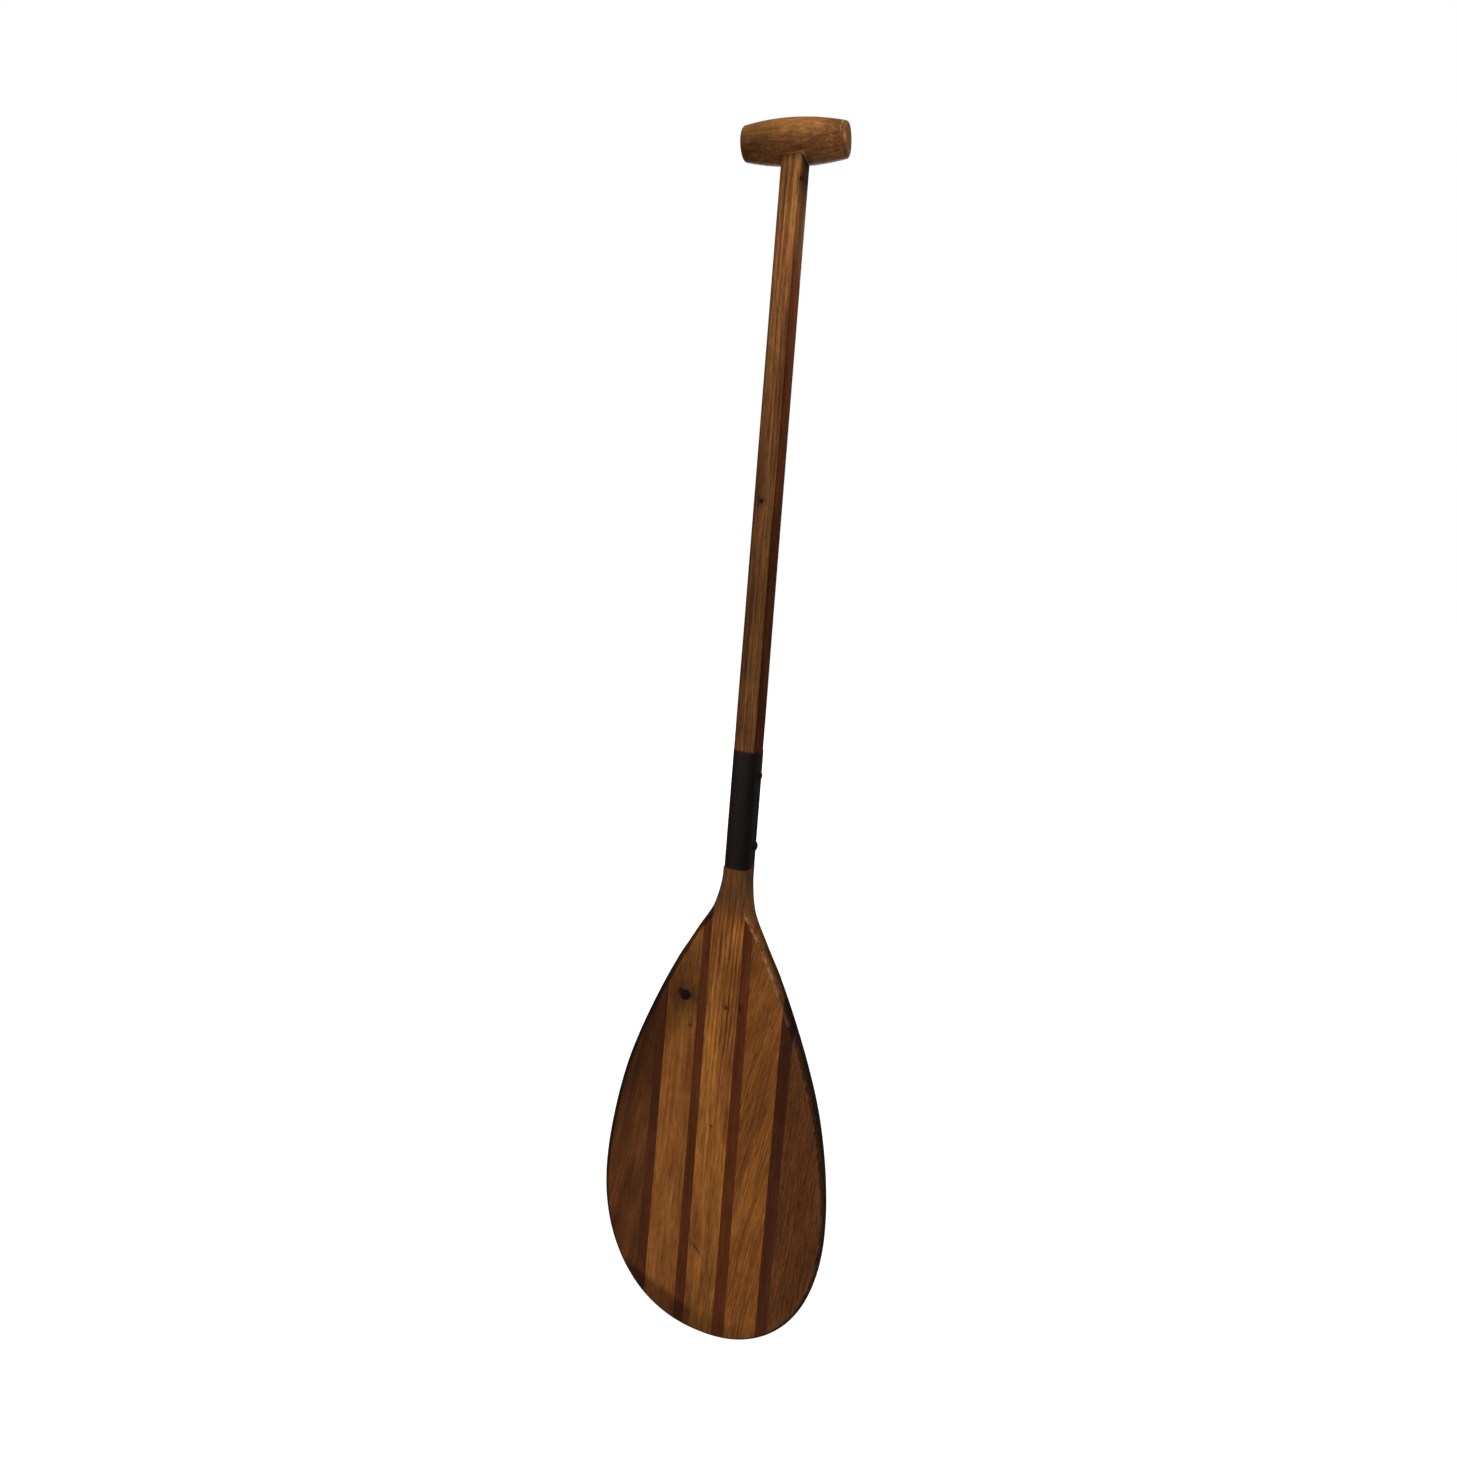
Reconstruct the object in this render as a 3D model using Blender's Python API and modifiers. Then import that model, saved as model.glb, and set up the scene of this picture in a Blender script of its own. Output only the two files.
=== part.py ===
"""Laminated wooden canoe paddle with a T-grip and a sleeved joint above the blade.

The paddle stands upright: +Z runs up the shaft, the tip of the blade touches z = 0, and
the flat power face looks toward -Y. All lengths are in metres.
"""
import math

import bmesh
import bpy
from mathutils import Matrix, Vector
from mathutils.geometry import delaunay_2d_cdt

# ---- driving dimensions -------------------------------------------------------------
GAP = 0.0003                  # glue line or fitting clearance between touching pieces
TALL = 1.302                  # whole length, blade tip to top of the grip

GRIP_LENGTH = 0.1165          # along X
GRIP_RADIUS = 0.0244          # at the middle of the barrel
GRIP_SWELL = 0.272            # radius of the long arc that the barrel is turned to
GRIP_END_ROUND = 0.004        # rounding between the barrel and its flat ends
GRIP_OFFSET = -0.0014         # the grip sits slightly off the shaft's centre line
GRIP_TWIST = 5                # degrees that the grip is turned on the shaft, seen from above
GRIP_AXIS_Z = TALL - GRIP_RADIUS
MORTISE_ABOVE_AXIS = 0.010    # the blind mortise stops this far above the barrel's axis

SHAFT_WIDTH = 0.0264          # X
SHAFT_DEPTH = 0.0286          # Y
SHAFT_ROUND = 0.0065          # corner radius of the shaft's section
SHAFT_SWELL = 0.0004          # how much thicker the shaft is just above the sleeve
SHAFT_SWELL_END = 0.75        # height where that thickening has died away
LAMINATION_IN = 0.0112        # side laminations start this far from the shaft's centre
LAMINATION_TOP_FRONT = 1.149  # the lamination's slanted end, at the front of the shaft
LAMINATION_TOP_BACK = 1.119   # and at the back

SLEEVE_BOTTOM = 0.4940
SLEEVE_TOP = 0.6195
SLEEVE_WALL = 0.0008
SEAT_CUT = 0.0003             # depth of the rebate that the sleeve sits in
JOINT_Z = 0.556               # where the shaft and the blade's neck butt inside the sleeve
TENON_ROOT = 0.020            # how far the neck's tenon is carried down into the blade

SCREW_UPPER = (0.5923, 0.003)  # height and sideways place of each screw
SCREW_LOWER = (0.5155, 0.006)
SCREW_HEAD_RADIUS = 0.0052
SCREW_HEAD_HEIGHT = 0.0022
SCREW_SHANK_RADIUS = 0.0020
SCREW_SHANK_LENGTH = 0.017
SCREW_TIP_LENGTH = 0.004
SCREW_HEAD_RIM = 0.0002       # straight rim under the dome of the head
SCREW_HOLE_LENGTH = 0.021
SCREW_HOLE_MOUTH = 0.0025     # the hole's cutter starts this far outside the sleeve
RECESS_WIDTH = 0.0011
RECESS_LENGTH = 0.0052
RECESS_DEPTH = 0.0010

FACE_Y = -0.0148              # plane of the blade's flat power face
NECK_TOP = SLEEVE_BOTTOM - GAP
WIDEST_Z = 0.145              # height of the blade's widest section
WIDEST = 0.126                # half of the blade's width there
TIP_POWER = 2.2               # the rounded end is a superellipse of this power

# Half width of the neck and blade above the widest section, by height.
HALF_WIDTH = [(0.4895, 0.0141), (0.472, 0.0159), (0.452, 0.0213), (0.441, 0.0271),
              (0.427, 0.0358), (0.409, 0.0459), (0.388, 0.0578), (0.347, 0.0771),
              (0.304, 0.0946), (0.262, 0.1088), (0.220, 0.1184), (0.178, 0.1243),
              (WIDEST_Z, WIDEST)]
# How far the hand-cut outline sways to the right of the shaft's centre line, by height.
SWAY = [(0.4895, 0.0), (0.340, 0.0004), (0.215, 0.0017), (0.140, 0.0016), (0.050, 0.0011),
        (0.0, 0.0)]
# Thickness at the edge and along the centre of the back, by height.
EDGE_THICK = [(0.4895, 0.0300), (0.478, 0.0220), (0.462, 0.0158), (0.440, 0.0155),
              (0.370, 0.0155), (0.300, 0.0160), (0.250, 0.0150), (0.145, 0.0120),
              (0.0, 0.0085)]
SPINE_THICK = [(0.4895, 0.0300), (0.440, 0.0295), (0.380, 0.0260), (0.300, 0.0215),
               (0.200, 0.0165), (0.100, 0.0125), (0.0, 0.0085)]
SPINE_WIDTH = [(0.4895, 0.016), (0.300, 0.024), (0.0, 0.060)]
# Rounding of the front and back edges, by height.
FRONT_ROUND = [(0.4895, 0.0068), (0.440, 0.0064), (0.410, 0.0060), (0.370, 0.0058),
               (0.330, 0.0050), (0.300, 0.0042), (0.270, 0.0034), (0.0, 0.0032)]
BACK_ROUND = [(0.4895, 0.0068), (0.440, 0.0070), (0.400, 0.0060), (0.300, 0.0050),
              (0.0, 0.0040)]

# The blade's strips, from left to right: name, wood, and where the right-hand glue line
# lies at the top of the neck and at the tip. The left-hand glue line of each strip is the
# right-hand one of the strip before.
STRIPS = [("blade_edge_plank_left", "edge_wood", (-0.0728, -0.0777)),
          ("blade_accent_outer_left", "accent_wood", (-0.0646, -0.0659)),
          ("blade_plank_left", "light_wood", (-0.0293, -0.0295)),
          ("blade_accent_inner_left", "accent_wood", (-0.0207, -0.0176)),
          ("blade_centre_plank", "light_wood", (0.0167, 0.0158)),
          ("blade_accent_inner_right", "accent_wood", (0.0265, 0.0296)),
          ("blade_plank_right", "light_wood", (0.0675, 0.0637)),
          ("blade_accent_outer_right", "accent_wood", (0.0820, 0.0749)),
          ("blade_edge_plank_right", "edge_wood", (0.140, 0.140))]
BLADE_REACH = 0.140           # beyond the blade's edge on either side
SLAB_OVERRUN = 0.050          # how far a strip's cutter runs past the blade all round

# Colour, roughness and metallic value of each material.
MATERIALS = {"grip_wood": ((0.33, 0.16, 0.05), 0.55, 0.0),
             "light_wood": ((0.28, 0.12, 0.035), 0.50, 0.0),
             "accent_wood": ((0.09, 0.025, 0.010), 0.50, 0.0),
             "edge_wood": ((0.13, 0.045, 0.015), 0.50, 0.0),
             "black_metal": ((0.012, 0.010, 0.009), 0.60, 0.3),
             "screw_metal": ((0.010, 0.009, 0.008), 0.45, 0.7)}

# Fineness of the meshes.
CORNER_STEPS = 6
EDGE_STEPS = 4
SIDE_POINTS = 38
TIP_POINTS = 22
BACK_STEP_X = 0.011
BACK_STEP_Z = 0.017
GRIP_STEPS = 40
BARREL_STEPS = 10
SCREW_STEPS = 24
DOME_STEPS = 5
SMOOTH_ANGLE = 35             # degrees; edges turning more than this stay crisp


# ---- scene and helpers --------------------------------------------------------------
def clear_scene():
    for old in list(bpy.data.objects):
        bpy.data.objects.remove(old, do_unlink=True)


def new_collection(name):
    made = bpy.data.collections.new(name)
    bpy.context.scene.collection.children.link(made)
    return made


def make_material(name):
    colour, roughness, metallic = MATERIALS[name]
    made = bpy.data.materials.new(name)
    made.use_nodes = True
    shader = made.node_tree.nodes["Principled BSDF"]
    shader.inputs["Base Color"].default_value = (*colour, 1.0)
    shader.inputs["Roughness"].default_value = roughness
    shader.inputs["Metallic"].default_value = metallic
    return made


def add_object(name, mesh, collection, material=None):
    made = bpy.data.objects.new(name, mesh)
    collection.objects.link(made)
    if material:
        mesh.materials.clear()
        mesh.materials.append(material)
    return made


def add_cutter(name, mesh, collection):
    made = add_object(name, mesh, collection)
    made.hide_render = True
    made.display_type = "WIRE"
    return made


def mesh_from(bm, name):
    bm.normal_update()
    bmesh.ops.recalc_face_normals(bm, faces=bm.faces)
    mesh = bpy.data.meshes.new(name)
    bm.to_mesh(mesh)
    bm.free()
    mesh.shade_smooth()
    mesh.set_sharp_from_angle(angle=math.radians(SMOOTH_ANGLE))
    return mesh


def box_mesh(name, low, high):
    bm = bmesh.new()
    bmesh.ops.create_cube(bm, size=1.0)
    size = Vector(high) - Vector(low)
    centre = (Vector(high) + Vector(low)) / 2
    bmesh.ops.scale(bm, vec=size, verts=bm.verts)
    bmesh.ops.translate(bm, vec=centre, verts=bm.verts)
    return mesh_from(bm, name)


def cut(target, cutter, operation="DIFFERENCE"):
    modifier = target.modifiers.new(operation.title(), "BOOLEAN")
    modifier.operation = operation
    modifier.object = cutter
    return modifier


def smooth(stations, z):
    """Value at height z on a smooth curve through (height, value) stations, top first."""
    if z >= stations[0][0]:
        return stations[0][1]
    if z <= stations[-1][0]:
        return stations[-1][1]
    index = next(i for i in range(len(stations) - 1) if z >= stations[i + 1][0])
    (z0, v0), (z1, v1) = stations[index], stations[index + 1]

    def slope(i):
        if i == 0 or i == len(stations) - 1:
            return 0.0
        rise = stations[i + 1][1] - stations[i - 1][1]
        return rise / (stations[i + 1][0] - stations[i - 1][0])

    run = z1 - z0
    t = (z - z0) / run
    return ((2 * t**3 - 3 * t**2 + 1) * v0 + (t**3 - 2 * t**2 + t) * run * slope(index)
            + (3 * t**2 - 2 * t**3) * v1 + (t**3 - t**2) * run * slope(index + 1))


def rounded_rectangle(width, depth, radius):
    """Points round a rectangle with rounded corners, counter-clockwise from +X."""
    points = []
    for corner, (sx, sy) in enumerate([(1, 1), (-1, 1), (-1, -1), (1, -1)]):
        centre = (sx * (width / 2 - radius), sy * (depth / 2 - radius))
        for step in range(CORNER_STEPS + 1):
            angle = math.radians(90) * (corner + step / CORNER_STEPS)
            points.append((centre[0] + radius * math.cos(angle),
                           centre[1] + radius * math.sin(angle)))
    return points


def section_loft(name, sections):
    """A capped solid through rounded rectangles, each (z, width, depth, radius)."""
    bm = bmesh.new()
    rings = []
    for z, width, depth, radius in sections:
        ring = [bm.verts.new((x, y, z)) for x, y in rounded_rectangle(width, depth, radius)]
        rings.append(ring)
    count = len(rings[0])
    for low, high in zip(rings, rings[1:]):
        for i in range(count):
            j = (i + 1) % count
            bm.faces.new((low[i], low[j], high[j], high[i]))
    bm.faces.new(rings[0][::-1])
    bm.faces.new(rings[-1])
    return mesh_from(bm, name)


def turned(name, profile, steps, collection, material):
    """A solid of revolution about Z: a half profile with a Screw modifier, top first."""
    mesh = bpy.data.meshes.new(name)
    edges = [(i, i + 1) for i in range(len(profile) - 1)]
    mesh.from_pydata([(r, 0.0, z) for r, z in profile], edges, [])
    made = add_object(name, mesh, collection, material)
    screw = made.modifiers.new("Screw", "SCREW")
    screw.steps = steps
    screw.render_steps = steps
    screw.use_merge_vertices = True
    screw.merge_threshold = 0.00001
    return made


# ---- grip ---------------------------------------------------------------------------
def grip_profile():
    """Half of the barrel's outline: radius and distance along the grip, +end first."""
    half = GRIP_LENGTH / 2
    shoulder = half - GRIP_END_ROUND
    drop = GRIP_SWELL - math.sqrt(GRIP_SWELL**2 - shoulder**2)
    corner = GRIP_RADIUS - drop - GRIP_END_ROUND
    end = [(0.0, half)]
    for step in range(EDGE_STEPS + 1):
        angle = math.radians(90) * (1 - step / EDGE_STEPS)
        end.append((corner + GRIP_END_ROUND * math.cos(angle),
                    shoulder + GRIP_END_ROUND * math.sin(angle)))
    barrel = []
    for step in range(1, BARREL_STEPS):
        along = shoulder * (1 - 2 * step / BARREL_STEPS)
        barrel.append((GRIP_RADIUS - GRIP_SWELL + math.sqrt(GRIP_SWELL**2 - along**2), along))
    return end + barrel + [(r, -z) for r, z in reversed(end)]


def build_grip(parts, cutters, wood):
    grip = turned("t_grip", grip_profile(), GRIP_STEPS, parts, wood["grip_wood"])
    grip.matrix_world = (Matrix.Translation((GRIP_OFFSET, 0.0, GRIP_AXIS_Z))
                         @ Matrix.Rotation(math.radians(GRIP_TWIST), 4, "Z")
                         @ Matrix.Rotation(math.radians(90), 4, "Y"))
    top = GRIP_AXIS_Z + MORTISE_ABOVE_AXIS
    hole = section_loft("mortise", [
        (GRIP_AXIS_Z - 2 * GRIP_RADIUS, SHAFT_WIDTH + 2 * GAP, SHAFT_DEPTH + 2 * GAP,
         SHAFT_ROUND + GAP),
        (top, SHAFT_WIDTH + 2 * GAP, SHAFT_DEPTH + 2 * GAP, SHAFT_ROUND + GAP)])
    cut(grip, add_cutter("mortise", hole, cutters))


# ---- shaft --------------------------------------------------------------------------
def shaft_blank(name):
    """The whole shaft before its side laminations are let in, with the sleeve's seat."""
    wide, deep = SHAFT_WIDTH + SHAFT_SWELL, SHAFT_DEPTH + SHAFT_SWELL
    seat_wide, seat_deep = SHAFT_WIDTH - 2 * SEAT_CUT, SHAFT_DEPTH - 2 * SEAT_CUT
    seat_end = SLEEVE_TOP + GAP
    return section_loft(name, [
        (JOINT_Z + GAP / 2, seat_wide, seat_deep, SHAFT_ROUND),
        (seat_end, seat_wide, seat_deep, SHAFT_ROUND),
        (seat_end + GAP, wide, deep, SHAFT_ROUND),
        (SHAFT_SWELL_END, SHAFT_WIDTH, SHAFT_DEPTH, SHAFT_ROUND),
        (GRIP_AXIS_Z + MORTISE_ABOVE_AXIS - GAP, SHAFT_WIDTH, SHAFT_DEPTH, SHAFT_ROUND)])


def lamination_pocket(name, side, grow):
    """Prism that bounds a side lamination, its top end slanted down toward the back."""
    inner = side * (LAMINATION_IN - grow)
    outer = side * SHAFT_WIDTH
    bottom = JOINT_Z - SHAFT_WIDTH
    slant = (LAMINATION_TOP_FRONT - LAMINATION_TOP_BACK) / SHAFT_DEPTH
    front, back = -SHAFT_DEPTH, SHAFT_DEPTH
    middle = (LAMINATION_TOP_FRONT + LAMINATION_TOP_BACK) / 2 + grow * 2
    bm = bmesh.new()
    bmesh.ops.create_cube(bm, size=1.0)
    for vert in bm.verts:
        x = inner if vert.co.x < 0 else outer
        y = front if vert.co.y < 0 else back
        z = bottom if vert.co.z < 0 else middle - slant * y
        vert.co = Vector((x, y, z))
    return mesh_from(bm, name)


def build_shaft(parts, cutters, wood):
    core = add_object("shaft_core", shaft_blank("shaft_core"), parts, wood["light_wood"])
    for side, word in [(-1, "left"), (1, "right")]:
        name = "shaft_lamination_" + word
        pocket = add_cutter("pocket_" + word, lamination_pocket("pocket", side, GAP / 2), cutters)
        cut(core, pocket)
        lamination = add_object(name, shaft_blank(name), parts, wood["accent_wood"])
        inside = lamination_pocket("bound", side, -GAP / 2)
        cut(lamination, add_cutter("bound_" + word, inside, cutters), "INTERSECT")


# ---- sleeve and screws --------------------------------------------------------------
def sleeve_solid(name, inset=0.0, overrun=0.0):
    wide = SHAFT_WIDTH + 2 * SLEEVE_WALL - 2 * inset
    deep = SHAFT_DEPTH + 2 * SLEEVE_WALL - 2 * inset
    radius = SHAFT_ROUND + SLEEVE_WALL - inset
    return section_loft(name, [(SLEEVE_BOTTOM - overrun, wide, deep, radius),
                               (SLEEVE_TOP + overrun, wide, deep, radius)])


def build_sleeve(parts, cutters, wood):
    sleeve = add_object("joint_sleeve", sleeve_solid("joint_sleeve"), parts,
                        wood["black_metal"])
    bore = sleeve_solid("sleeve_bore", inset=SLEEVE_WALL, overrun=SHAFT_ROUND)
    cut(sleeve, add_cutter("sleeve_bore", bore, cutters))


def screw_profile():
    """Domed head, plain shank and pointed tip; z = 0 is the underside of the head."""
    sphere = (SCREW_HEAD_RADIUS**2 + SCREW_HEAD_HEIGHT**2) / (2 * SCREW_HEAD_HEIGHT)
    spread = math.asin(SCREW_HEAD_RADIUS / sphere)
    centre = SCREW_HEAD_RIM + SCREW_HEAD_HEIGHT - sphere
    dome = []
    for step in range(DOME_STEPS + 1):
        angle = spread * step / DOME_STEPS
        dome.append((sphere * math.sin(angle), centre + sphere * math.cos(angle)))
    return dome + [(SCREW_HEAD_RADIUS, 0.0), (SCREW_SHANK_RADIUS, 0.0),
                   (SCREW_SHANK_RADIUS, SCREW_TIP_LENGTH - SCREW_SHANK_LENGTH),
                   (0.0, -SCREW_SHANK_LENGTH)]


def build_screw(name, place, parts, cutters, wood):
    """A screw driven in from +X, with a cross recess, and its hole in what it holds."""
    height, sideways = place
    seat_x = SHAFT_WIDTH / 2 + SLEEVE_WALL + GAP
    onto_side = (Matrix.Translation((seat_x, sideways, height))
                 @ Matrix.Rotation(math.radians(90), 4, "Y"))
    screw = turned(name, screw_profile(), SCREW_STEPS, parts, wood["screw_metal"])
    screw.matrix_world = onto_side
    top = SCREW_HEAD_RIM + SCREW_HEAD_HEIGHT
    for label, long_x, long_y in [("a", RECESS_LENGTH, RECESS_WIDTH),
                                  ("b", RECESS_WIDTH, RECESS_LENGTH)]:
        slot = box_mesh(name + "_slot", (-long_x / 2, -long_y / 2, top - RECESS_DEPTH),
                        (long_x / 2, long_y / 2, top + RECESS_DEPTH))
        cutter = add_cutter(name + "_slot_" + label, slot, cutters)
        cutter.matrix_world = onto_side
        cut(screw, cutter)
    bm = bmesh.new()
    hole_radius = SCREW_SHANK_RADIUS + GAP
    bmesh.ops.create_cone(bm, cap_ends=True, segments=SCREW_STEPS, radius1=hole_radius,
                          radius2=hole_radius, depth=SCREW_HOLE_LENGTH)
    middle = SCREW_HOLE_MOUTH - SCREW_HOLE_LENGTH / 2
    bmesh.ops.translate(bm, vec=(0.0, 0.0, middle), verts=bm.verts)
    hole = add_cutter(name + "_hole", mesh_from(bm, name + "_hole"), cutters)
    hole.matrix_world = onto_side
    return hole


# ---- blade --------------------------------------------------------------------------
def edge_path():
    """The outline's right half as (x, z), from the top of the neck round to the tip."""
    path = []
    for step in range(SIDE_POINTS):
        z = NECK_TOP + (WIDEST_Z - NECK_TOP) * step / SIDE_POINTS
        path.append((smooth(HALF_WIDTH, z), z))
    for step in range(TIP_POINTS):
        angle = math.radians(90) * step / TIP_POINTS
        path.append((WIDEST * math.cos(angle) ** (2 / TIP_POWER),
                     WIDEST_Z * (1 - math.sin(angle) ** (2 / TIP_POWER))))
    path.append((0.0, 0.0))
    return path


def outward(path, index):
    """Unit outward normal of the closed outline at a point of its right half."""
    if index == 0:
        return 1.0, 0.0
    if index == len(path) - 1:
        return 0.0, -1.0
    (xa, za), (xb, zb) = path[index - 1], path[index + 1]
    along = math.hypot(xb - xa, zb - za)
    return (za - zb) / along, (xb - xa) / along


def back_y(x, z):
    """The back surface: edge thickness plus a spine that fades toward the tip."""
    edge = smooth(EDGE_THICK, z)
    rise = smooth(SPINE_THICK, z) - edge
    return FACE_Y + edge + rise * math.exp(-(x / smooth(SPINE_WIDTH, z)) ** 2)


def edge_profile(x, z, normal):
    """Points across the blade's rounded edge, from the power face to the back."""
    front, back = smooth(FRONT_ROUND, z), smooth(BACK_ROUND, z)
    points = []
    for step in range(EDGE_STEPS + 1):
        angle = math.radians(90) * (1 - step / EDGE_STEPS)
        inset = front * (1 - math.cos(angle))
        points.append((x - inset * normal[0], FACE_Y + front * (1 - math.sin(angle)),
                       z - inset * normal[1]))
    far_y = back_y(x - back * normal[0], z - back * normal[1])
    for step in range(EDGE_STEPS + 1):
        angle = math.radians(90) * step / EDGE_STEPS
        inset = back * (1 - math.cos(angle))
        points.append((x - inset * normal[0], far_y - back * (1 - math.sin(angle)),
                       z - inset * normal[1]))
    return points


def back_faces(bm, rim):
    """Fills the back, inside its rim of vertices, with a grid that follows the spine."""
    flat = [Vector((v.co.x, v.co.z)) for v in rim]
    edges = [(i, (i + 1) % len(rim)) for i in range(len(rim))]
    rows = int(NECK_TOP / BACK_STEP_Z)
    for row in range(1, rows):
        z = row * BACK_STEP_Z
        inside = [abs(p.x) for p in flat if abs(p.y - z) < BACK_STEP_Z]
        reach = (min(inside) if inside else 0.0) - BACK_STEP_X / 3
        columns = int(reach / BACK_STEP_X)
        for column in range(-columns, columns + 1):
            flat.append(Vector((column * BACK_STEP_X, z)))
    points, _, faces, origins, _, _ = delaunay_2d_cdt(flat, edges, [list(range(len(rim)))],
                                                      1, 0.00001)
    verts = []
    for point, origin in zip(points, origins):
        on_rim = [i for i in origin if i < len(rim)]
        if on_rim:
            verts.append(rim[on_rim[0]])
        else:
            verts.append(bm.verts.new((point.x, back_y(point.x, point.y), point.y)))
    for face in faces:
        bm.faces.new([verts[i] for i in face])


def blade_blank(name):
    """The blade and neck as glued up and shaped, before it is parted into its strips."""
    half = edge_path()
    right = [edge_profile(x, z, outward(half, i)) for i, (x, z) in enumerate(half)]
    left = [[(-x, y, z) for x, y, z in profile] for profile in reversed(right[:-1])]
    bm = bmesh.new()
    rings = [[bm.verts.new((x + smooth(SWAY, z), y, z)) for x, y, z in profile]
             for profile in right + left]
    for one, two in zip(rings, rings[1:]):
        for k in range(len(one) - 1):
            bm.faces.new((one[k], two[k], two[k + 1], one[k + 1]))
    bm.faces.new([ring[0] for ring in rings])
    bm.faces.new(rings[0] + rings[-1][::-1])
    back_faces(bm, [ring[-1] for ring in rings])
    return mesh_from(bm, name)


def strip_slab(left, right):
    """Prism between two glue lines, each given by its x at the neck's top and at the tip."""
    bm = bmesh.new()
    bmesh.ops.create_cube(bm, size=1.0)
    for vert in bm.verts:
        (neck_x, tip_x), inset = (left, GAP / 2) if vert.co.x < 0 else (right, -GAP / 2)
        z = -SLAB_OVERRUN if vert.co.z < 0 else NECK_TOP + SLAB_OVERRUN
        x = tip_x + (neck_x - tip_x) * z / NECK_TOP + inset
        vert.co = Vector((x, math.copysign(SLAB_OVERRUN, vert.co.y), z))
    return mesh_from(bm, "slab")


def build_blade(parts, cutters, wood):
    blank = blade_blank("blade_blank")
    left = (-BLADE_REACH, -BLADE_REACH)
    for name, kind, right in STRIPS:
        strip = add_object(name, blank.copy(), parts, wood[kind])
        slab = add_cutter(name + "_slab", strip_slab(left, right), cutters)
        cut(strip, slab, "INTERSECT")
        left = right
    bpy.data.meshes.remove(blank)
    seat_wide = SHAFT_WIDTH - 2 * SEAT_CUT
    seat_deep = SHAFT_DEPTH - 2 * SEAT_CUT
    tenon = section_loft("neck_tenon", [
        (NECK_TOP - TENON_ROOT, seat_wide, seat_deep, SHAFT_ROUND),
        (JOINT_Z - GAP / 2, seat_wide, seat_deep, SHAFT_ROUND)])
    centre = parts.objects["blade_centre_plank"]
    cut(centre, add_cutter("neck_tenon", tenon, cutters), "UNION")


# ---- assembly -----------------------------------------------------------------------
def main():
    clear_scene()
    parts = new_collection("canoe_paddle")
    cutters = new_collection("cutters")
    wood = {name: make_material(name) for name in MATERIALS}
    build_grip(parts, cutters, wood)
    build_shaft(parts, cutters, wood)
    build_sleeve(parts, cutters, wood)
    build_blade(parts, cutters, wood)
    upper = build_screw("sleeve_screw_upper", SCREW_UPPER, parts, cutters, wood)
    lower = build_screw("sleeve_screw_lower", SCREW_LOWER, parts, cutters, wood)
    sleeve = parts.objects["joint_sleeve"]
    cut(sleeve, upper)
    cut(sleeve, lower)
    cut(parts.objects["shaft_core"], upper)
    cut(parts.objects["shaft_lamination_right"], upper)
    cut(parts.objects["blade_centre_plank"], lower)


main()
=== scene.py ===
"""Looks of a laminated wooden canoe paddle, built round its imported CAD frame.

The paddle stands on its blade tip at z = 0 and its flat power face looks toward -Y. All
lengths are in metres. Every piece sits where its CAD node sits.
"""
import math

import bmesh
import bpy
from mathutils import Matrix, Vector
from mathutils.geometry import delaunay_2d_cdt


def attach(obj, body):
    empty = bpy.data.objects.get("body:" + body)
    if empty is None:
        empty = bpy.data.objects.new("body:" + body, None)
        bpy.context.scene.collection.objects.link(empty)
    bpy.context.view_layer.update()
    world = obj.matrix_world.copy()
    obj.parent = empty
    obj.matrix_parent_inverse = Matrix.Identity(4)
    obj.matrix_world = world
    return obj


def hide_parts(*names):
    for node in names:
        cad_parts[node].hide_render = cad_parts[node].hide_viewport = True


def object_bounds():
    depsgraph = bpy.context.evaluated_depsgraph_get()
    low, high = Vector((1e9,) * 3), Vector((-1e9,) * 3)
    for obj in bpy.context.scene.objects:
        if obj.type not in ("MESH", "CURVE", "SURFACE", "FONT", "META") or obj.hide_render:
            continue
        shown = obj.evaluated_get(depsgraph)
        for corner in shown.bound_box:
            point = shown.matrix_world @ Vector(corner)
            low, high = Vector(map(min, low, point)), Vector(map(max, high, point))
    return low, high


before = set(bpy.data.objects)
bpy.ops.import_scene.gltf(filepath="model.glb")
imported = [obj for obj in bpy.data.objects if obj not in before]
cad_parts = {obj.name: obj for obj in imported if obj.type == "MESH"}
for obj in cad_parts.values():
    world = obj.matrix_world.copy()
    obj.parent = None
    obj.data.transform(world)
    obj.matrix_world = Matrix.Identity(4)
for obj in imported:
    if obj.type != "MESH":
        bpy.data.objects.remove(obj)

CAD_LOW, CAD_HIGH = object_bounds()

# ---- shared dimensions, as in the CAD ----
GRIP_LENGTH = 0.1165
GRIP_RADIUS = 0.0244
GRIP_SWELL = 0.272             # radius of the barrel's long curve
GRIP_OFFSET = -0.0014          # how far right of the shaft its middle lies
GRIP_TWIST = math.radians(5)
GRIP_AXIS_Z = CAD_HIGH.z - GRIP_RADIUS
MORTISE_TOP = GRIP_AXIS_Z + 0.01

SHAFT_WIDTH = 0.0264
SHAFT_DEPTH = 0.0286
SHAFT_ROUND = 0.0065
SHAFT_SWELL = 0.0004           # extra thickness at the sleeve, gone by the next height
SHAFT_SWELL_END = 0.75
LAMINATION_IN = 0.0112         # inner face of a lamination, from the shaft's middle
LAMINATION_TOP = 1.134         # mean height of the lamination's slanted top end
LAMINATION_SLANT = 1.05        # how steeply that end drops toward the back

SLEEVE_BOTTOM = 0.494
SLEEVE_TOP = 0.6195
SLEEVE_WALL = 0.0008
SEAT_CUT = 0.0003              # how far the ends inside the sleeve are cut back
JOINT_Z = 0.556                # where shaft and neck meet inside the sleeve
END_GAP = 0.0002               # each of them stops this far short of there
TENON_ROOT = 0.02              # how deep the tenon is rooted in the neck

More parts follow.
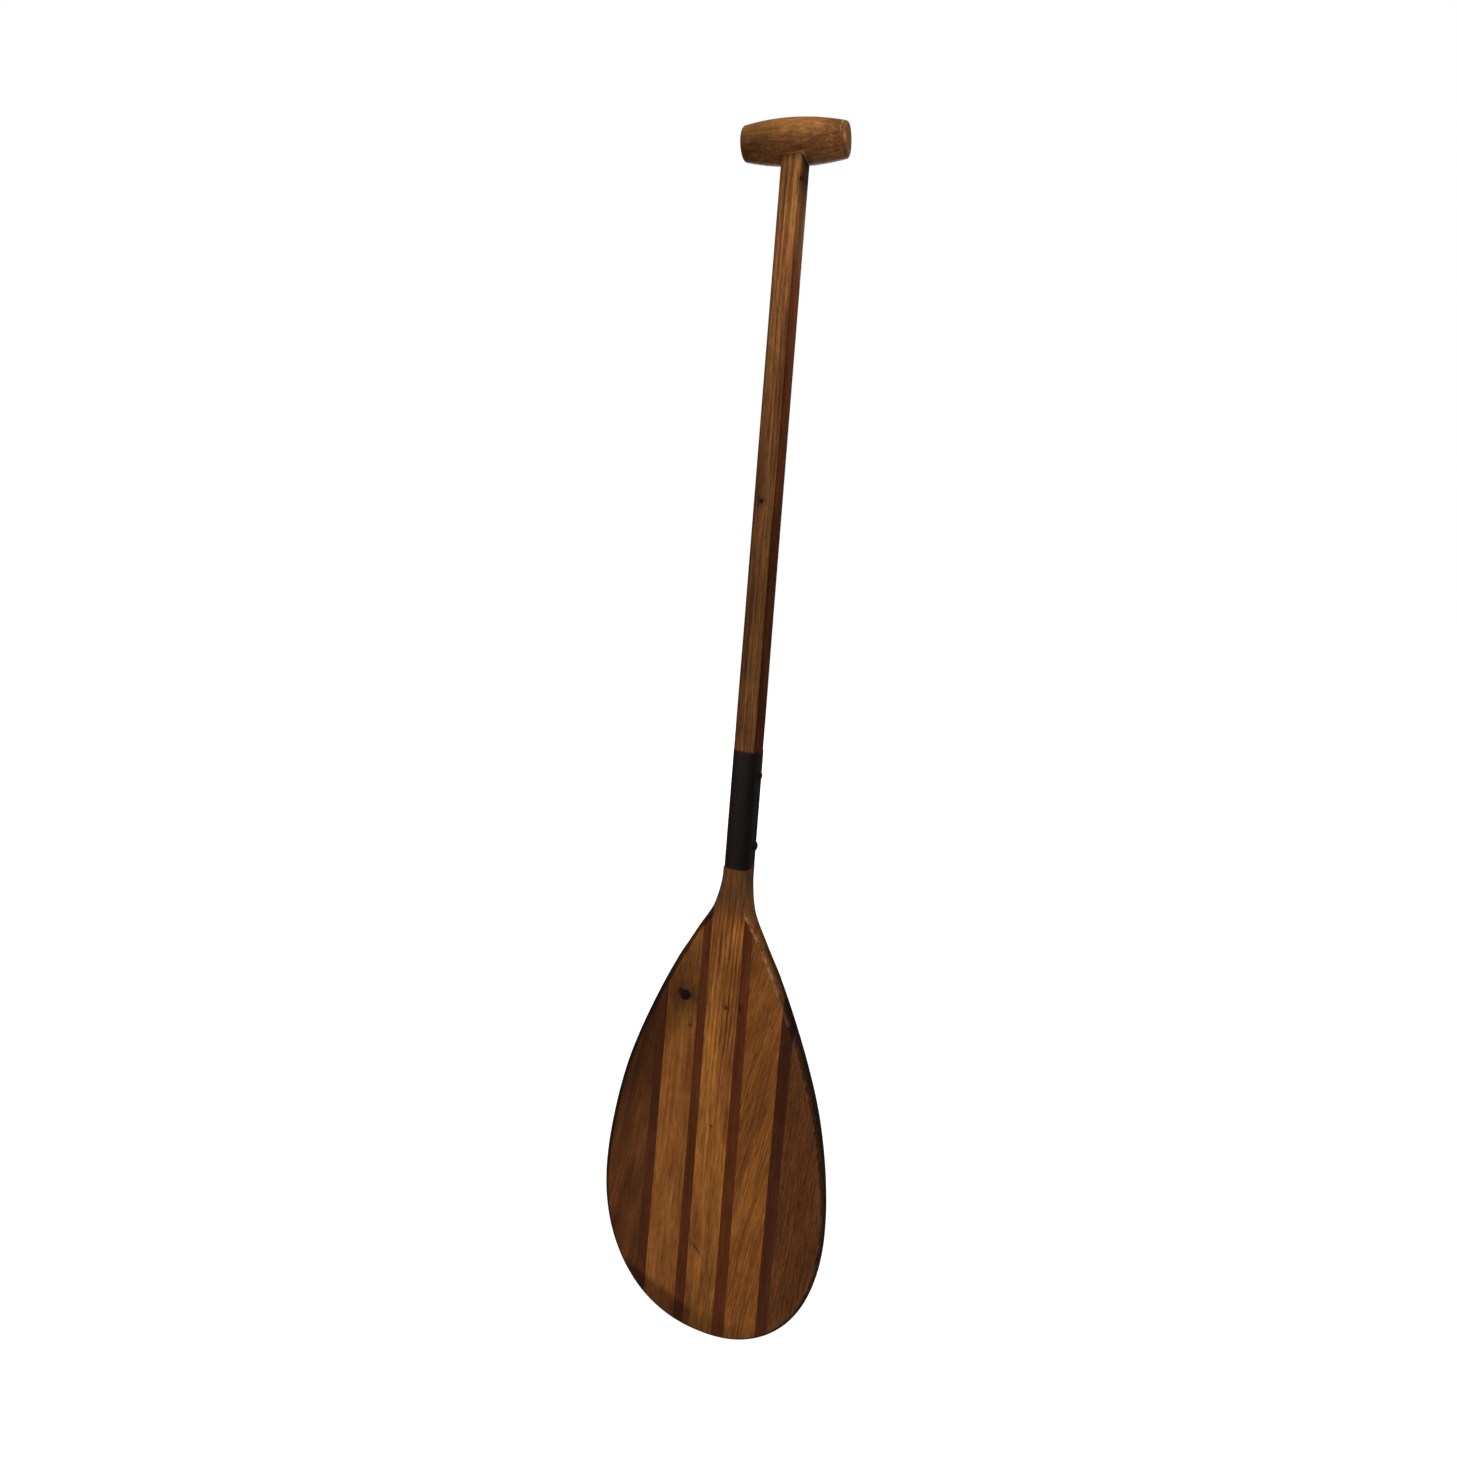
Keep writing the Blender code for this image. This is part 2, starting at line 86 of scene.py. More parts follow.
FACE_Y = -0.0148               # the flat power face
NECK_TOP = 0.4937
WIDEST_Z = 0.145
WIDEST = 0.126
TIP_POWER = 2.2                # squareness of the tip's outline, 2 for an ellipse
# The blade's measures as (height, value) stations, top first. SWAY shifts it sideways.
HALF_WIDTH = [(0.4895, 0.0141), (0.472, 0.0159), (0.452, 0.0213), (0.441, 0.0271),
              (0.427, 0.0358), (0.409, 0.0459), (0.388, 0.0578), (0.347, 0.0771),
              (0.304, 0.0946), (0.262, 0.1088), (0.22, 0.1184), (0.178, 0.1243),
              (WIDEST_Z, WIDEST)]
SWAY = [(0.4895, 0.0), (0.34, 0.0004), (0.215, 0.0017), (0.14, 0.0016), (0.05, 0.0011),
        (0.0, 0.0)]
EDGE_THICK = [(0.4895, 0.03), (0.478, 0.022), (0.462, 0.0158), (0.44, 0.0155),
              (0.37, 0.0155), (0.3, 0.016), (0.25, 0.015), (0.145, 0.012), (0.0, 0.0085)]
SPINE_THICK = [(0.4895, 0.03), (0.44, 0.0295), (0.38, 0.026), (0.3, 0.0215),
               (0.2, 0.0165), (0.1, 0.0125), (0.0, 0.0085)]
SPINE_WIDTH = [(0.4895, 0.016), (0.3, 0.024), (0.0, 0.06)]
BACK_ROUND = [(0.4895, 0.0068), (0.44, 0.007), (0.4, 0.006), (0.3, 0.005), (0.0, 0.004)]

# The chamfer round the power face: how far in its ridge lies, how far in its outer side
# lies, how far that side has dropped, and the rounding that leads into the edge.
RIDGE_IN = [(0.4895, 0.0068), (0.455, 0.0066), (0.445, 0.0066), (0.42, 0.0045),
            (0.39, 0.0058), (0.363, 0.0056), (0.33, 0.0052), (0.3, 0.0048),
            (0.25, 0.0046), (0.15, 0.0048), (0.06, 0.0036), (0.0, 0.003)]
FACET_OUT = [(0.4895, 0.005), (0.455, 0.003), (0.44, 0.0016), (0.0, 0.0012)]
FACET_DROP = [(0.4895, 0.0005), (0.455, 0.0018), (0.44, 0.0036), (0.33, 0.0034),
              (0.3, 0.0026), (0.25, 0.002), (0.0, 0.0018)]

BLADE_REACH = 0.14            # a glue line out here is past the blade's edge

# Strips of the blade from left to right: node without "blade_", look, right-hand glue line
# at the top of the neck and at the tip.
STRIPS = [("edge_plank_left", "edge_left", (-0.0728, -0.0777)),
          ("accent_outer_left", "accent_outer", (-0.0646, -0.0659)),
          ("plank_left", "plank_left", (-0.0293, -0.0295)),
          ("accent_inner_left", "accent_inner", (-0.0207, -0.0176)),
          ("centre_plank", "plank_centre", (0.0167, 0.0158)),
          ("accent_inner_right", "accent_inner_right", (0.0265, 0.0296)),
          ("plank_right", "plank_right", (0.0675, 0.0637)),
          ("accent_outer_right", "accent_outer", (0.082, 0.0749)),
          ("edge_plank_right", "edge_right", (BLADE_REACH, BLADE_REACH))]
GLUE_GAP = 0.00006            # each strip stops this far short of its glue line
CREASE = 0.0005               # half width of the narrow turn that keeps a ridge crisp

CORNER_STEPS = 9              # steps round a shaft corner, and round a blade or grip edge
ROUND_STEPS = 7
SIDE_POINTS = 96              # points down the blade's side, and round its tip
TIP_POINTS = 56
FACE_GRID = (0.03, 0.03)      # spacing of the points that fill the flat face
BACK_GRID = (0.006, 0.008)    # and the curved back, across and along
GRID_MERGE = 0.00001          # points closer than this are one
CUT_TOUCH = 1e-7              # points this close to a cut lie on it
SMOOTH_ANGLE = math.radians(32)


# ---- camera, floor and light ----
CAMERA_PLACE = (0.3215, -0.8601, 0.8201)
CAMERA_TURN = math.radians(19.12)      # to the left of straight ahead
CAMERA_ROLL = math.radians(4.564)
CAMERA_LENS = 21.0
CAMERA_SENSOR = 36.0
CAMERA_SHIFT = (-0.0379, -0.1116)
FLOOR_RADIUS = 60.0
LAMPS_AIM = (0.0, 0.0, 0.62)           # all lamps face the paddle's middle height
WHITE = (1.0, 1.0, 1.0)


def link(made):
    bpy.context.scene.collection.objects.link(made)
    return made


def make_camera():
    data = bpy.data.cameras.new("camera")
    data.sensor_width = CAMERA_SENSOR
    data.lens = CAMERA_LENS
    data.shift_x, data.shift_y = CAMERA_SHIFT
    camera = link(bpy.data.objects.new("camera", data))
    right = Vector((math.cos(CAMERA_TURN), math.sin(CAMERA_TURN), 0.0))
    ahead = Vector((-math.sin(CAMERA_TURN), math.cos(CAMERA_TURN), 0.0))
    up = Vector((0.0, 0.0, 1.0))
    across = right * math.cos(CAMERA_ROLL) + up * math.sin(CAMERA_ROLL)
    upward = up * math.cos(CAMERA_ROLL) - right * math.sin(CAMERA_ROLL)
    turn = Matrix((across, upward, -ahead)).transposed()
    camera.matrix_world = Matrix.Translation(CAMERA_PLACE) @ turn.to_4x4()
    bpy.context.scene.camera = camera


def area_light(name, place, size, power, colour=WHITE):
    data = bpy.data.lights.new(name, "AREA")
    data.shape = "RECTANGLE"
    data.size, data.size_y = size
    data.energy = power
    data.color = colour
    lamp = link(bpy.data.objects.new(name, data))
    lamp.location = place
    aim = Vector(LAMPS_AIM) - Vector(place)
    lamp.rotation_euler = aim.to_track_quat("-Z", "Y").to_euler()


def make_world():
    """White where the camera sees it; the paddle is lit by a dim room, lighter above."""
    world = bpy.data.worlds.new("room")
    bpy.context.scene.world = world
    world.use_nodes = True
    tree = world.node_tree
    tree.nodes.clear()
    output, seen, room, coords, split, ramp, scale, path, mix = [
        tree.nodes.new("ShaderNode" + kind)
        for kind in ("OutputWorld", "Background", "Background", "TexCoord", "SeparateXYZ",
                     "ValToRGB", "MapRange", "LightPath", "MixShader")]
    seen.inputs["Color"].default_value = (*WHITE, 1.0)
    low, high = ramp.color_ramp.elements
    low.position, low.color = 0.3, (0.2, 0.2, 0.2, 1.0)
    high.position, high.color = 0.9, (0.34, 0.335, 0.33, 1.0)
    scale.inputs["From Min"].default_value = -1.0
    for one, two in [(coords.outputs["Generated"], split.inputs[0]),
                     (split.outputs["Z"], scale.inputs["Value"]),
                     (scale.outputs["Result"], ramp.inputs["Fac"]),
                     (ramp.outputs["Color"], room.inputs["Color"]),
                     (path.outputs["Is Camera Ray"], mix.inputs["Fac"]),
                     (room.outputs[0], mix.inputs[1]), (seen.outputs[0], mix.inputs[2]),
                     (mix.outputs[0], output.inputs["Surface"])]:
        tree.links.new(one, two)


def make_floor():
    bm = bmesh.new()
    bmesh.ops.create_circle(bm, cap_ends=True, segments=96, radius=FLOOR_RADIUS)
    mesh = bpy.data.meshes.new("floor")
    bm.to_mesh(mesh)
    bm.free()
    floor = link(bpy.data.objects.new("floor", mesh))
    paint = bpy.data.materials.new("floor_paint")
    paint.use_nodes = True
    shader = paint.node_tree.nodes["Principled BSDF"]
    for key, value in [("Base Color", (0.3, 0.3, 0.3, 1.0)), ("Roughness", 0.9),
                       ("Specular IOR Level", 0.0), ("Emission Color", (*WHITE, 1.0)),
                       ("Emission Strength", 0.92)]:
        shader.inputs[key].default_value = value
    mesh.materials.append(paint)
    floor.visible_diffuse = False
    floor.visible_glossy = False


def make_stage():
    make_camera()
    make_world()
    make_floor()
    area_light("key", (1.6, -3.2, 4.4), (2.2, 1.8), 172.0, (1.0, 0.985, 0.96))
    area_light("fill", (-0.9, -2.8, 0.9), (0.6, 1.6), 17.0)
    area_light("back", (-0.8, 3.0, 1.5), (2.0, 2.0), 74.0)
    bpy.context.scene.view_settings.view_transform = "Standard"


# ---- mesh helpers ----
QUARTER = math.radians(90)
LAY_DOWN = Matrix.Rotation(QUARTER, 4, "Y")            # turns the z axis to the right


def finish_mesh(bm, name):
    bm.normal_update()
    bmesh.ops.recalc_face_normals(bm, faces=bm.faces)
    mesh = bpy.data.meshes.new(name)
    bm.to_mesh(mesh)
    bm.free()
    mesh.shade_smooth()
    mesh.set_sharp_from_angle(angle=SMOOTH_ANGLE)
    return mesh


def smooth(stations, z):
    """Value at height z on a smooth curve through (height, value) stations, top first."""
    if z >= stations[0][0]:
        return stations[0][1]
    if z <= stations[-1][0]:
        return stations[-1][1]
    index = next(i for i in range(len(stations) - 1) if z >= stations[i + 1][0])
    (z0, v0), (z1, v1) = stations[index], stations[index + 1]

    def slope(i):
        if i == 0 or i == len(stations) - 1:
            return 0.0
        rise = stations[i + 1][1] - stations[i - 1][1]
        return rise / (stations[i + 1][0] - stations[i - 1][0])

    run = z1 - z0
    t = (z - z0) / run
    return ((2 * t**3 - 3 * t**2 + 1) * v0 + (t**3 - 2 * t**2 + t) * run * slope(index)
            + (3 * t**2 - 2 * t**3) * v1 + (t**3 - t**2) * run * slope(index + 1))


def rounded_rectangle(width, depth, radius):
    """Points round a rounded rectangle about the origin, anticlockwise from its right."""
    points = []
    for corner, (sx, sy) in enumerate([(1, 1), (-1, 1), (-1, -1), (1, -1)]):
        centre = (sx * (width / 2 - radius), sy * (depth / 2 - radius))
        for step in range(CORNER_STEPS + 1):
            angle = QUARTER * (corner + step / CORNER_STEPS)
            points.append((centre[0] + radius * math.cos(angle),
                           centre[1] + radius * math.sin(angle)))
    return points


def circle(radius, sides):
    return [(radius * math.cos(2 * math.pi * i / sides),
             radius * math.sin(2 * math.pi * i / sides)) for i in range(sides)]


def loft(bm, sections, closed=False):
    """Walls through sections, each (z, points), capped unless they close on themselves."""
    rings = [[bm.verts.new((x, y, z)) for x, y in points] for z, points in sections]
    pairs = list(zip(rings, rings[1:]))
    if closed:
        pairs.append((rings[-1], rings[0]))
    count = len(rings[0])
    for low, high in pairs:
        for i in range(count):
            j = (i + 1) % count
            bm.faces.new((low[i], low[j], high[j], high[i]))
    if not closed:
        bm.faces.new(rings[0][::-1])
        bm.faces.new(rings[-1])


def prism(name, corners):
    """A box-like solid whose eight corners come from a function of the cube's signs."""
    bm = bmesh.new()
    bmesh.ops.create_cube(bm, size=1.0)
    for vert in bm.verts:
        vert.co = Vector(corners(*(math.copysign(1.0, c) for c in vert.co)))
    return finish_mesh(bm, name)


def boolean(target, cutter_mesh, operation):
    """Applies a boolean with a passing cutter and leaves only its result."""
    cutter = link(bpy.data.objects.new("cutter", cutter_mesh))
    modifier = target.modifiers.new("cut", "BOOLEAN")
    modifier.operation = operation
    modifier.object = cutter
    apply_modifiers(target)
    bpy.data.objects.remove(cutter, do_unlink=True)


def apply_modifiers(target):
    graph = bpy.context.evaluated_depsgraph_get()
    made = bpy.data.meshes.new_from_object(target.evaluated_get(graph))
    target.modifiers.clear()
    old = target.data
    target.data = made
    bpy.data.meshes.remove(old)
    made.shade_smooth()
    made.set_sharp_from_angle(angle=SMOOTH_ANGLE)


def add_piece(name, mesh, node, look):
    piece = link(bpy.data.objects.new(name, mesh))
    mesh.materials.clear()
    mesh.materials.append(look)
    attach(piece, "root")
    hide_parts(node)
    return piece


# ---- blade ----
def edge_path():
    """The right half of the blade's outline, from the neck's top down to the tip."""
    path = []
    for step in range(SIDE_POINTS):
        z = NECK_TOP + (WIDEST_Z - NECK_TOP) * step / SIDE_POINTS
        path.append((smooth(HALF_WIDTH, z), z))
    for step in range(TIP_POINTS):
        angle = QUARTER * step / TIP_POINTS
        path.append((WIDEST * math.cos(angle) ** (2 / TIP_POWER),
                     WIDEST_Z * (1 - math.sin(angle) ** (2 / TIP_POWER))))
    path.append((0.0, 0.0))
    return path


def outward(path, index):
    """The outline's outward direction, as (x, z), at one of its points."""
    if index == 0:
        return 1.0, 0.0
    if index == len(path) - 1:
        return 0.0, -1.0
    (xa, za), (xb, zb) = path[index - 1], path[index + 1]
    along = math.hypot(xb - xa, zb - za)
    return (za - zb) / along, (xb - xa) / along


def back_y(x, z):
    edge = smooth(EDGE_THICK, z)
    rise = smooth(SPINE_THICK, z) - edge
    return FACE_Y + edge + rise * math.exp(-(x / smooth(SPINE_WIDTH, z)) ** 2)


def edge_profile(x, z, normal):
    """Points from the power face over its chamfer and the edge to the back."""
    ridge, facet, drop = smooth(RIDGE_IN, z), smooth(FACET_OUT, z), smooth(FACET_DROP, z)
    back = smooth(BACK_ROUND, z)
    steep = drop / (ridge - facet)
    pairs = [(ridge + 2 * CREASE, 0.0), (ridge + CREASE, 0.0),
             (ridge, CREASE * steep / 3), (ridge - CREASE, CREASE * steep),
             ((ridge + facet) / 2, drop / 2)]
    for step in range(ROUND_STEPS + 1):
        angle = QUARTER * (1 - step / ROUND_STEPS)
        pairs.append((facet * (1 - math.cos(angle)), drop + facet * (1 - math.sin(angle))))
    points = [(x - inset * normal[0], FACE_Y + fall, z - inset * normal[1])
              for inset, fall in pairs]
    far_y = back_y(x - back * normal[0], z - back * normal[1])
    for step in range(ROUND_STEPS + 1):
        angle = QUARTER * step / ROUND_STEPS
        inset = back * (1 - math.cos(angle))
        points.append((x - inset * normal[0], far_y - back * (1 - math.sin(angle)),
                       z - inset * normal[1]))
    return points


def edge_marks():
    """For each point of an edge profile: how much it belongs to the ridge line, to what
    lies beyond the ridge, and to the blade's outer wall."""
    turn = [step / ROUND_STEPS for step in range(ROUND_STEPS + 1)]
    ridge = [0.0, 0.45, 1.0, 1.0, 0.35] + [0.0] * (2 * ROUND_STEPS + 2)
    beyond = [0.0, 0.0, 0.5, 1.0, 1.0] + [1.0] * (2 * ROUND_STEPS + 1) + [0.0]
    wall = [0.0] * 5 + turn + turn[::-1]
    return {"ridge": ridge, "beyond": beyond, "wall": wall}


def fill_grid(bm, rim, height, spacing):
    """Fills a rim of vertices with a grid of points whose y comes from height(x, z)."""
    step_x, step_z = spacing
    flat = [Vector((v.co.x, v.co.z)) for v in rim]
    edges = [(i, (i + 1) % len(rim)) for i in range(len(rim))]
    for row in range(1, int(NECK_TOP / step_z)):
        z = row * step_z
        inside = [abs(p.x) for p in flat[:len(rim)] if abs(p.y - z) < step_z]
        reach = (min(inside) if inside else 0.0) - step_x / 2
        columns = int(reach / step_x)
        for column in range(-columns, columns + 1):
            flat.append(Vector((column * step_x, z)))
    points, _, faces, origins, _, _ = delaunay_2d_cdt(flat, edges, [list(range(len(rim)))],
                                                      1, GRID_MERGE)
    verts = []
    for point, origin in zip(points, origins):
        on_rim = [i for i in origin if i < len(rim)]
        if on_rim:
            verts.append(rim[on_rim[0]])
        else:
            verts.append(bm.verts.new((point.x, height(point.x, point.y), point.y)))
    for face in faces:
        bm.faces.new([verts[i] for i in face])


def blade_blank():
    """The whole blade in one, before it is parted along its glue lines."""
    half = edge_path()
    right = [edge_profile(x, z, outward(half, i)) for i, (x, z) in enumerate(half)]
    left = [[(-x, y, z) for x, y, z in profile] for profile in reversed(right[:-1])]
    bm = bmesh.new()
    marks = [(bm.verts.layers.float.new(mark), values)
             for mark, values in edge_marks().items()]
    rings = [[bm.verts.new((x + smooth(SWAY, z), y, z)) for x, y, z in profile]
             for profile in right + left]
    for layer, values in marks:
        for ring in rings:
            for vert, value in zip(ring, values):
                vert[layer] = value
    for one, two in zip(rings, rings[1:]):
        for k in range(len(one) - 1):
            bm.faces.new((one[k], two[k], two[k + 1], one[k + 1]))
    fill_grid(bm, [ring[0] for ring in rings], lambda x, z: FACE_Y, FACE_GRID)
    bm.faces.new(rings[0] + rings[-1][::-1])
    fill_grid(bm, [ring[-1] for ring in rings], back_y, BACK_GRID)
    bm.normal_update()
    bmesh.ops.recalc_face_normals(bm, faces=bm.faces)
    return bm


def part_off(bm, line, side):
    """Cuts away what lies beyond a glue line (side +1: to its right) and caps the cut."""
    neck_x, tip_x = line
    lean = (neck_x - tip_x) / NECK_TOP
    normal = Vector((side, 0.0, -side * lean)).normalized()
    geometry = bm.verts[:] + bm.edges[:] + bm.faces[:]
    cut = bmesh.ops.bisect_plane(bm, geom=geometry, dist=CUT_TOUCH,
                                 plane_co=Vector((tip_x - side * GLUE_GAP, 0.0, 0.0)),
                                 plane_no=normal, clear_outer=True)
    rim = [g for g in cut["geom_cut"] if isinstance(g, bmesh.types.BMEdge)]
    bmesh.ops.contextual_create(bm, geom=rim)


def build_blade(looks):
    blank = blade_blank()
    left = None
    for name, look, right in STRIPS:
        bm = blank.copy()
        if left is not None:
            part_off(bm, left, -1)
        if right[0] < BLADE_REACH:
            part_off(bm, right, 1)
        piece = add_piece("strip_" + name, finish_mesh(bm, name), "blade_" + name,
                          looks[look])
        if name == "centre_plank":
            section = rounded_rectangle(SHAFT_WIDTH - 2 * SEAT_CUT,
                                        SHAFT_DEPTH - 2 * SEAT_CUT, SHAFT_ROUND)
            tenon = bmesh.new()
            loft(tenon, [(NECK_TOP - TENON_ROOT, section), (JOINT_Z - END_GAP, section)])
            boolean(piece, finish_mesh(tenon, "tenon"), "UNION")
        left = right
    blank.free()


# ---- shaft ----
SHAFT_RINGS = 130
NOTCH_Z = 1.237               # a worn dent in the front right arris just below the grip
NOTCH_DEEP = 0.0014
NOTCH_WIDE = 0.0042
NOTCH_TALL = 0.0065
SHOULDER = (SLEEVE_TOP + 0.0003, SLEEVE_TOP + 0.0006)      # from seat to full thickness
MORTISE_FLOOR_GAP = 0.0003    # the shaft stops this far below the mortise's floor
MORTISE_PLAY = 0.0004         # the mortise is wider than the shaft by this on each side


def shaft_section(z):
    """The shaft's outline at height z, with the dent in its arris."""
    grow = SHAFT_SWELL * max(0.0, 1 - (z - SLEEVE_TOP) / (SHAFT_SWELL_END - SLEEVE_TOP))
    if z <= SHOULDER[0]:
        grow = -2 * SEAT_CUT
    points = rounded_rectangle(SHAFT_WIDTH + grow, SHAFT_DEPTH + grow, SHAFT_ROUND)
    corner = Vector(((SHAFT_WIDTH - SHAFT_ROUND) / 2, -(SHAFT_DEPTH - SHAFT_ROUND) / 2))
    worn = []
    for x, y in points:
        near = math.exp(-(((x - corner.x) ** 2 + (y - corner.y) ** 2) / NOTCH_WIDE**2
                          + ((z - NOTCH_Z) / NOTCH_TALL) ** 2))
        worn.append((x - near * NOTCH_DEEP, y + near * NOTCH_DEEP))
    return worn


def shaft_blank(name):
    bottom, top = JOINT_Z + END_GAP, MORTISE_TOP - MORTISE_FLOOR_GAP
    heights = [bottom, *SHOULDER]
    start = heights[-1]
    heights += [start + (top - start) * (i + 1) / SHAFT_RINGS for i in range(SHAFT_RINGS)]
    bm = bmesh.new()
    loft(bm, [(z, shaft_section(z)) for z in heights])
    return finish_mesh(bm, name)


def lamination_pocket(side, gap):
    """The space of a side lamination; its top end slants down toward the back."""
    def corner(sx, sy, sz):
        x = side * (LAMINATION_IN + gap) if sx < 0 else side * SHAFT_WIDTH
        y = sy * SHAFT_DEPTH
        z = LAMINATION_TOP - gap - LAMINATION_SLANT * y if sz > 0 else JOINT_Z - SHAFT_WIDTH
        return x, y, z
    return prism("pocket", corner)


def build_shaft(looks):
    core = add_piece("shaft_wood", shaft_blank("shaft_wood"), "shaft_core",
                     looks["shaft"])
    for side, word in [(-1, "left"), (1, "right")]:
        boolean(core, lamination_pocket(side, -GLUE_GAP), "DIFFERENCE")
        name = "shaft_side_" + word
        strip = add_piece(name, shaft_blank(name), "shaft_lamination_" + word,
                          looks["shaft_side"])
        boolean(strip, lamination_pocket(side, GLUE_GAP), "INTERSECT")


# ---- sleeve and screws ----
SLEEVE_EASE = 0.001           # extra rounding of the sleeve's outer corners
SLEEVE_CROWN = 0.00022        # how much its sides stand proud in the middle
LIP = 0.0006                  # the sleeve's rims are rounded over this much of its length
LIP_STEPS = 6
# node, (height, distance behind the middle of the right wall), turn of the cross slot
SCREWS = [("sleeve_screw_upper", (0.5923, 0.003), 0.35),
          ("sleeve_screw_lower", (0.5155, 0.006), 1.1)]
HEAD_RADIUS = 0.0052
HEAD_HEIGHT = 0.0024
HEAD_GAP = 0.0003             # the head stands this far off the sleeve
HEAD_EDGE = 0.0003            # least thickness of the dome at its edge
HEAD_FOOT = 0.0001            # a small bevel under the head's edge: its height and width
HEAD_BEVEL = 0.0002
DOME = 1.05                   # the dome's half angle, and the angles of its rings
DOME_RINGS = (0.1, 0.25, 0.4, 0.55, 0.7, 0.82, 0.92, 1.0, DOME)
SHANK_RADIUS = 0.002
SHANK_LENGTH = 0.017
POINT_LENGTH = 0.004          # the tapered end has no thread
TIP_RADIUS = 0.0004
TIP_GAP = 0.0003
THREAD_PITCH = 0.0011
# one turn of the thread: (how far inside the shank's radius, how far along)
THREAD = [(0.0001, 0.0003), (0.0006, 0.0006), (0.0001, 0.0009)]
SLOT_LONG, SLOT_NARROW, SLOT_DEEP = 0.0026, 0.0005, 0.0012
SLOT_TAPER = 0.6              # the slots are this much smaller at their floor
SCREW_SIDES = 40


def sleeve_section(inset):
    """The tube's section; the outside of its front half is rounder and crowned."""
    outer = 1 - inset / SLEEVE_WALL
    width = SHAFT_WIDTH + 2 * (SLEEVE_WALL - inset)
    depth = SHAFT_DEPTH + 2 * (SLEEVE_WALL - inset)
    radius = SHAFT_ROUND + SLEEVE_WALL - inset
    back = rounded_rectangle(width, depth, radius)
    front = rounded_rectangle(width, depth, radius + outer * SLEEVE_EASE)
    crown = outer * SLEEVE_CROWN
    half = len(back) // 2
    return back[:half] + [(x, y + crown * (2 * x / width) ** 2) for x, y in front[half:]]


def build_sleeve(looks):
    """A thin tube with rounded rims and a drilled hole for each screw."""
    half = SLEEVE_WALL / 2
    rim = []
    for step in range(LIP_STEPS + 1):
        angle = math.radians(180) * step / LIP_STEPS
        rim.append((half * (1 - math.cos(angle)), LIP * (1 - math.sin(angle))))
    sections = [(SLEEVE_TOP - back, sleeve_section(inset)) for inset, back in rim]
    sections += [(SLEEVE_BOTTOM + back, sleeve_section(inset))
                 for inset, back in reversed(rim)]
    bm = bmesh.new()
    loft(bm, sections, closed=True)
    piece = add_piece("sleeve", finish_mesh(bm, "sleeve"), "joint_sleeve",
                      looks["sleeve"])
    for _, (height, sideways), _ in SCREWS:
        drill = bmesh.new()
        bmesh.ops.create_cone(drill, cap_ends=True, segments=SCREW_SIDES,
                              radius1=SHANK_RADIUS, radius2=SHANK_RADIUS,
                              depth=SHAFT_ROUND)
        place = Matrix.Translation((SHAFT_WIDTH / 2, sideways, height))
        bmesh.ops.transform(drill, verts=drill.verts, matrix=place @ LAY_DOWN)
        boolean(piece, finish_mesh(drill, "drill"), "DIFFERENCE")


def screw_rings():
    """(radius, height) pairs from the centre of the dome to the point of the screw."""
    rings = [(HEAD_RADIUS * math.sin(a) / math.sin(DOME),
              HEAD_HEIGHT * (math.cos(a) - math.cos(DOME)) / (1 - math.cos(DOME)))
             for a in DOME_RINGS]
    rings = [(radius, max(height, HEAD_EDGE)) for radius, height in rings]
    rings += [(HEAD_RADIUS, HEAD_FOOT), (HEAD_RADIUS - HEAD_BEVEL, 0.0),
              (SHANK_RADIUS, 0.0)]
    depth = 0.0
    while depth < SHANK_LENGTH - POINT_LENGTH:
        rings += [(SHANK_RADIUS - inward, -depth - along) for inward, along in THREAD]
        depth += THREAD_PITCH
    return rings + [(TIP_RADIUS, TIP_GAP - SHANK_LENGTH)]


def build_screw(node, place, turn, looks):
    height, sideways = place
    bm = bmesh.new()
    loft(bm, [(z, circle(radius, SCREW_SIDES)) for radius, z in screw_rings()])
    piece = add_piece(node.replace("sleeve_", ""), finish_mesh(bm, node), node,
                      looks["screw"])
    for half_x, half_y in [(SLOT_LONG, SLOT_NARROW), (SLOT_NARROW, SLOT_LONG)]:
        def corner(sx, sy, sz):
            share = SLOT_TAPER if sz < 0 else 1.0
            return sx * half_x * share, sy * half_y * share, HEAD_HEIGHT + sz * SLOT_DEEP
        boolean(piece, prism("slot", corner), "DIFFERENCE")
    seat = SHAFT_WIDTH / 2 + SLEEVE_WALL + HEAD_GAP
    piece.data.transform(Matrix.Translation((seat, sideways, height)) @ LAY_DOWN
                         @ Matrix.Rotation(turn, 4, "Z"))


# ---- grip ----
GRIP_SIDES = 96
GRIP_RINGS = 60
GRIP_ROUND = 0.0042
GRIP_END_RINGS = (0.15, 0.5, 0.85)      # rings across each flat end, as shares of it


def grip_outline():
    """(distance along the grip, radius), from one end's centre to the other's."""
    half = GRIP_LENGTH / 2
    shoulder = half - GRIP_ROUND
    drop = GRIP_SWELL - math.sqrt(GRIP_SWELL**2 - shoulder**2)
    corner = GRIP_RADIUS - drop - GRIP_ROUND
    end = [(half, corner * share) for share in GRIP_END_RINGS]
    for step in range(ROUND_STEPS + 1):
        angle = QUARTER * (1 - step / ROUND_STEPS)
        end.append((shoulder + GRIP_ROUND * math.sin(angle),
                    corner + GRIP_ROUND * math.cos(angle)))
    barrel = []
    for step in range(1, GRIP_RINGS):
        along = shoulder * (1 - 2 * step / GRIP_RINGS)
        barrel.append((along, GRIP_RADIUS - GRIP_SWELL
                       + math.sqrt(GRIP_SWELL**2 - along**2)))
    return end + barrel + [(-along, radius) for along, radius in reversed(end)]


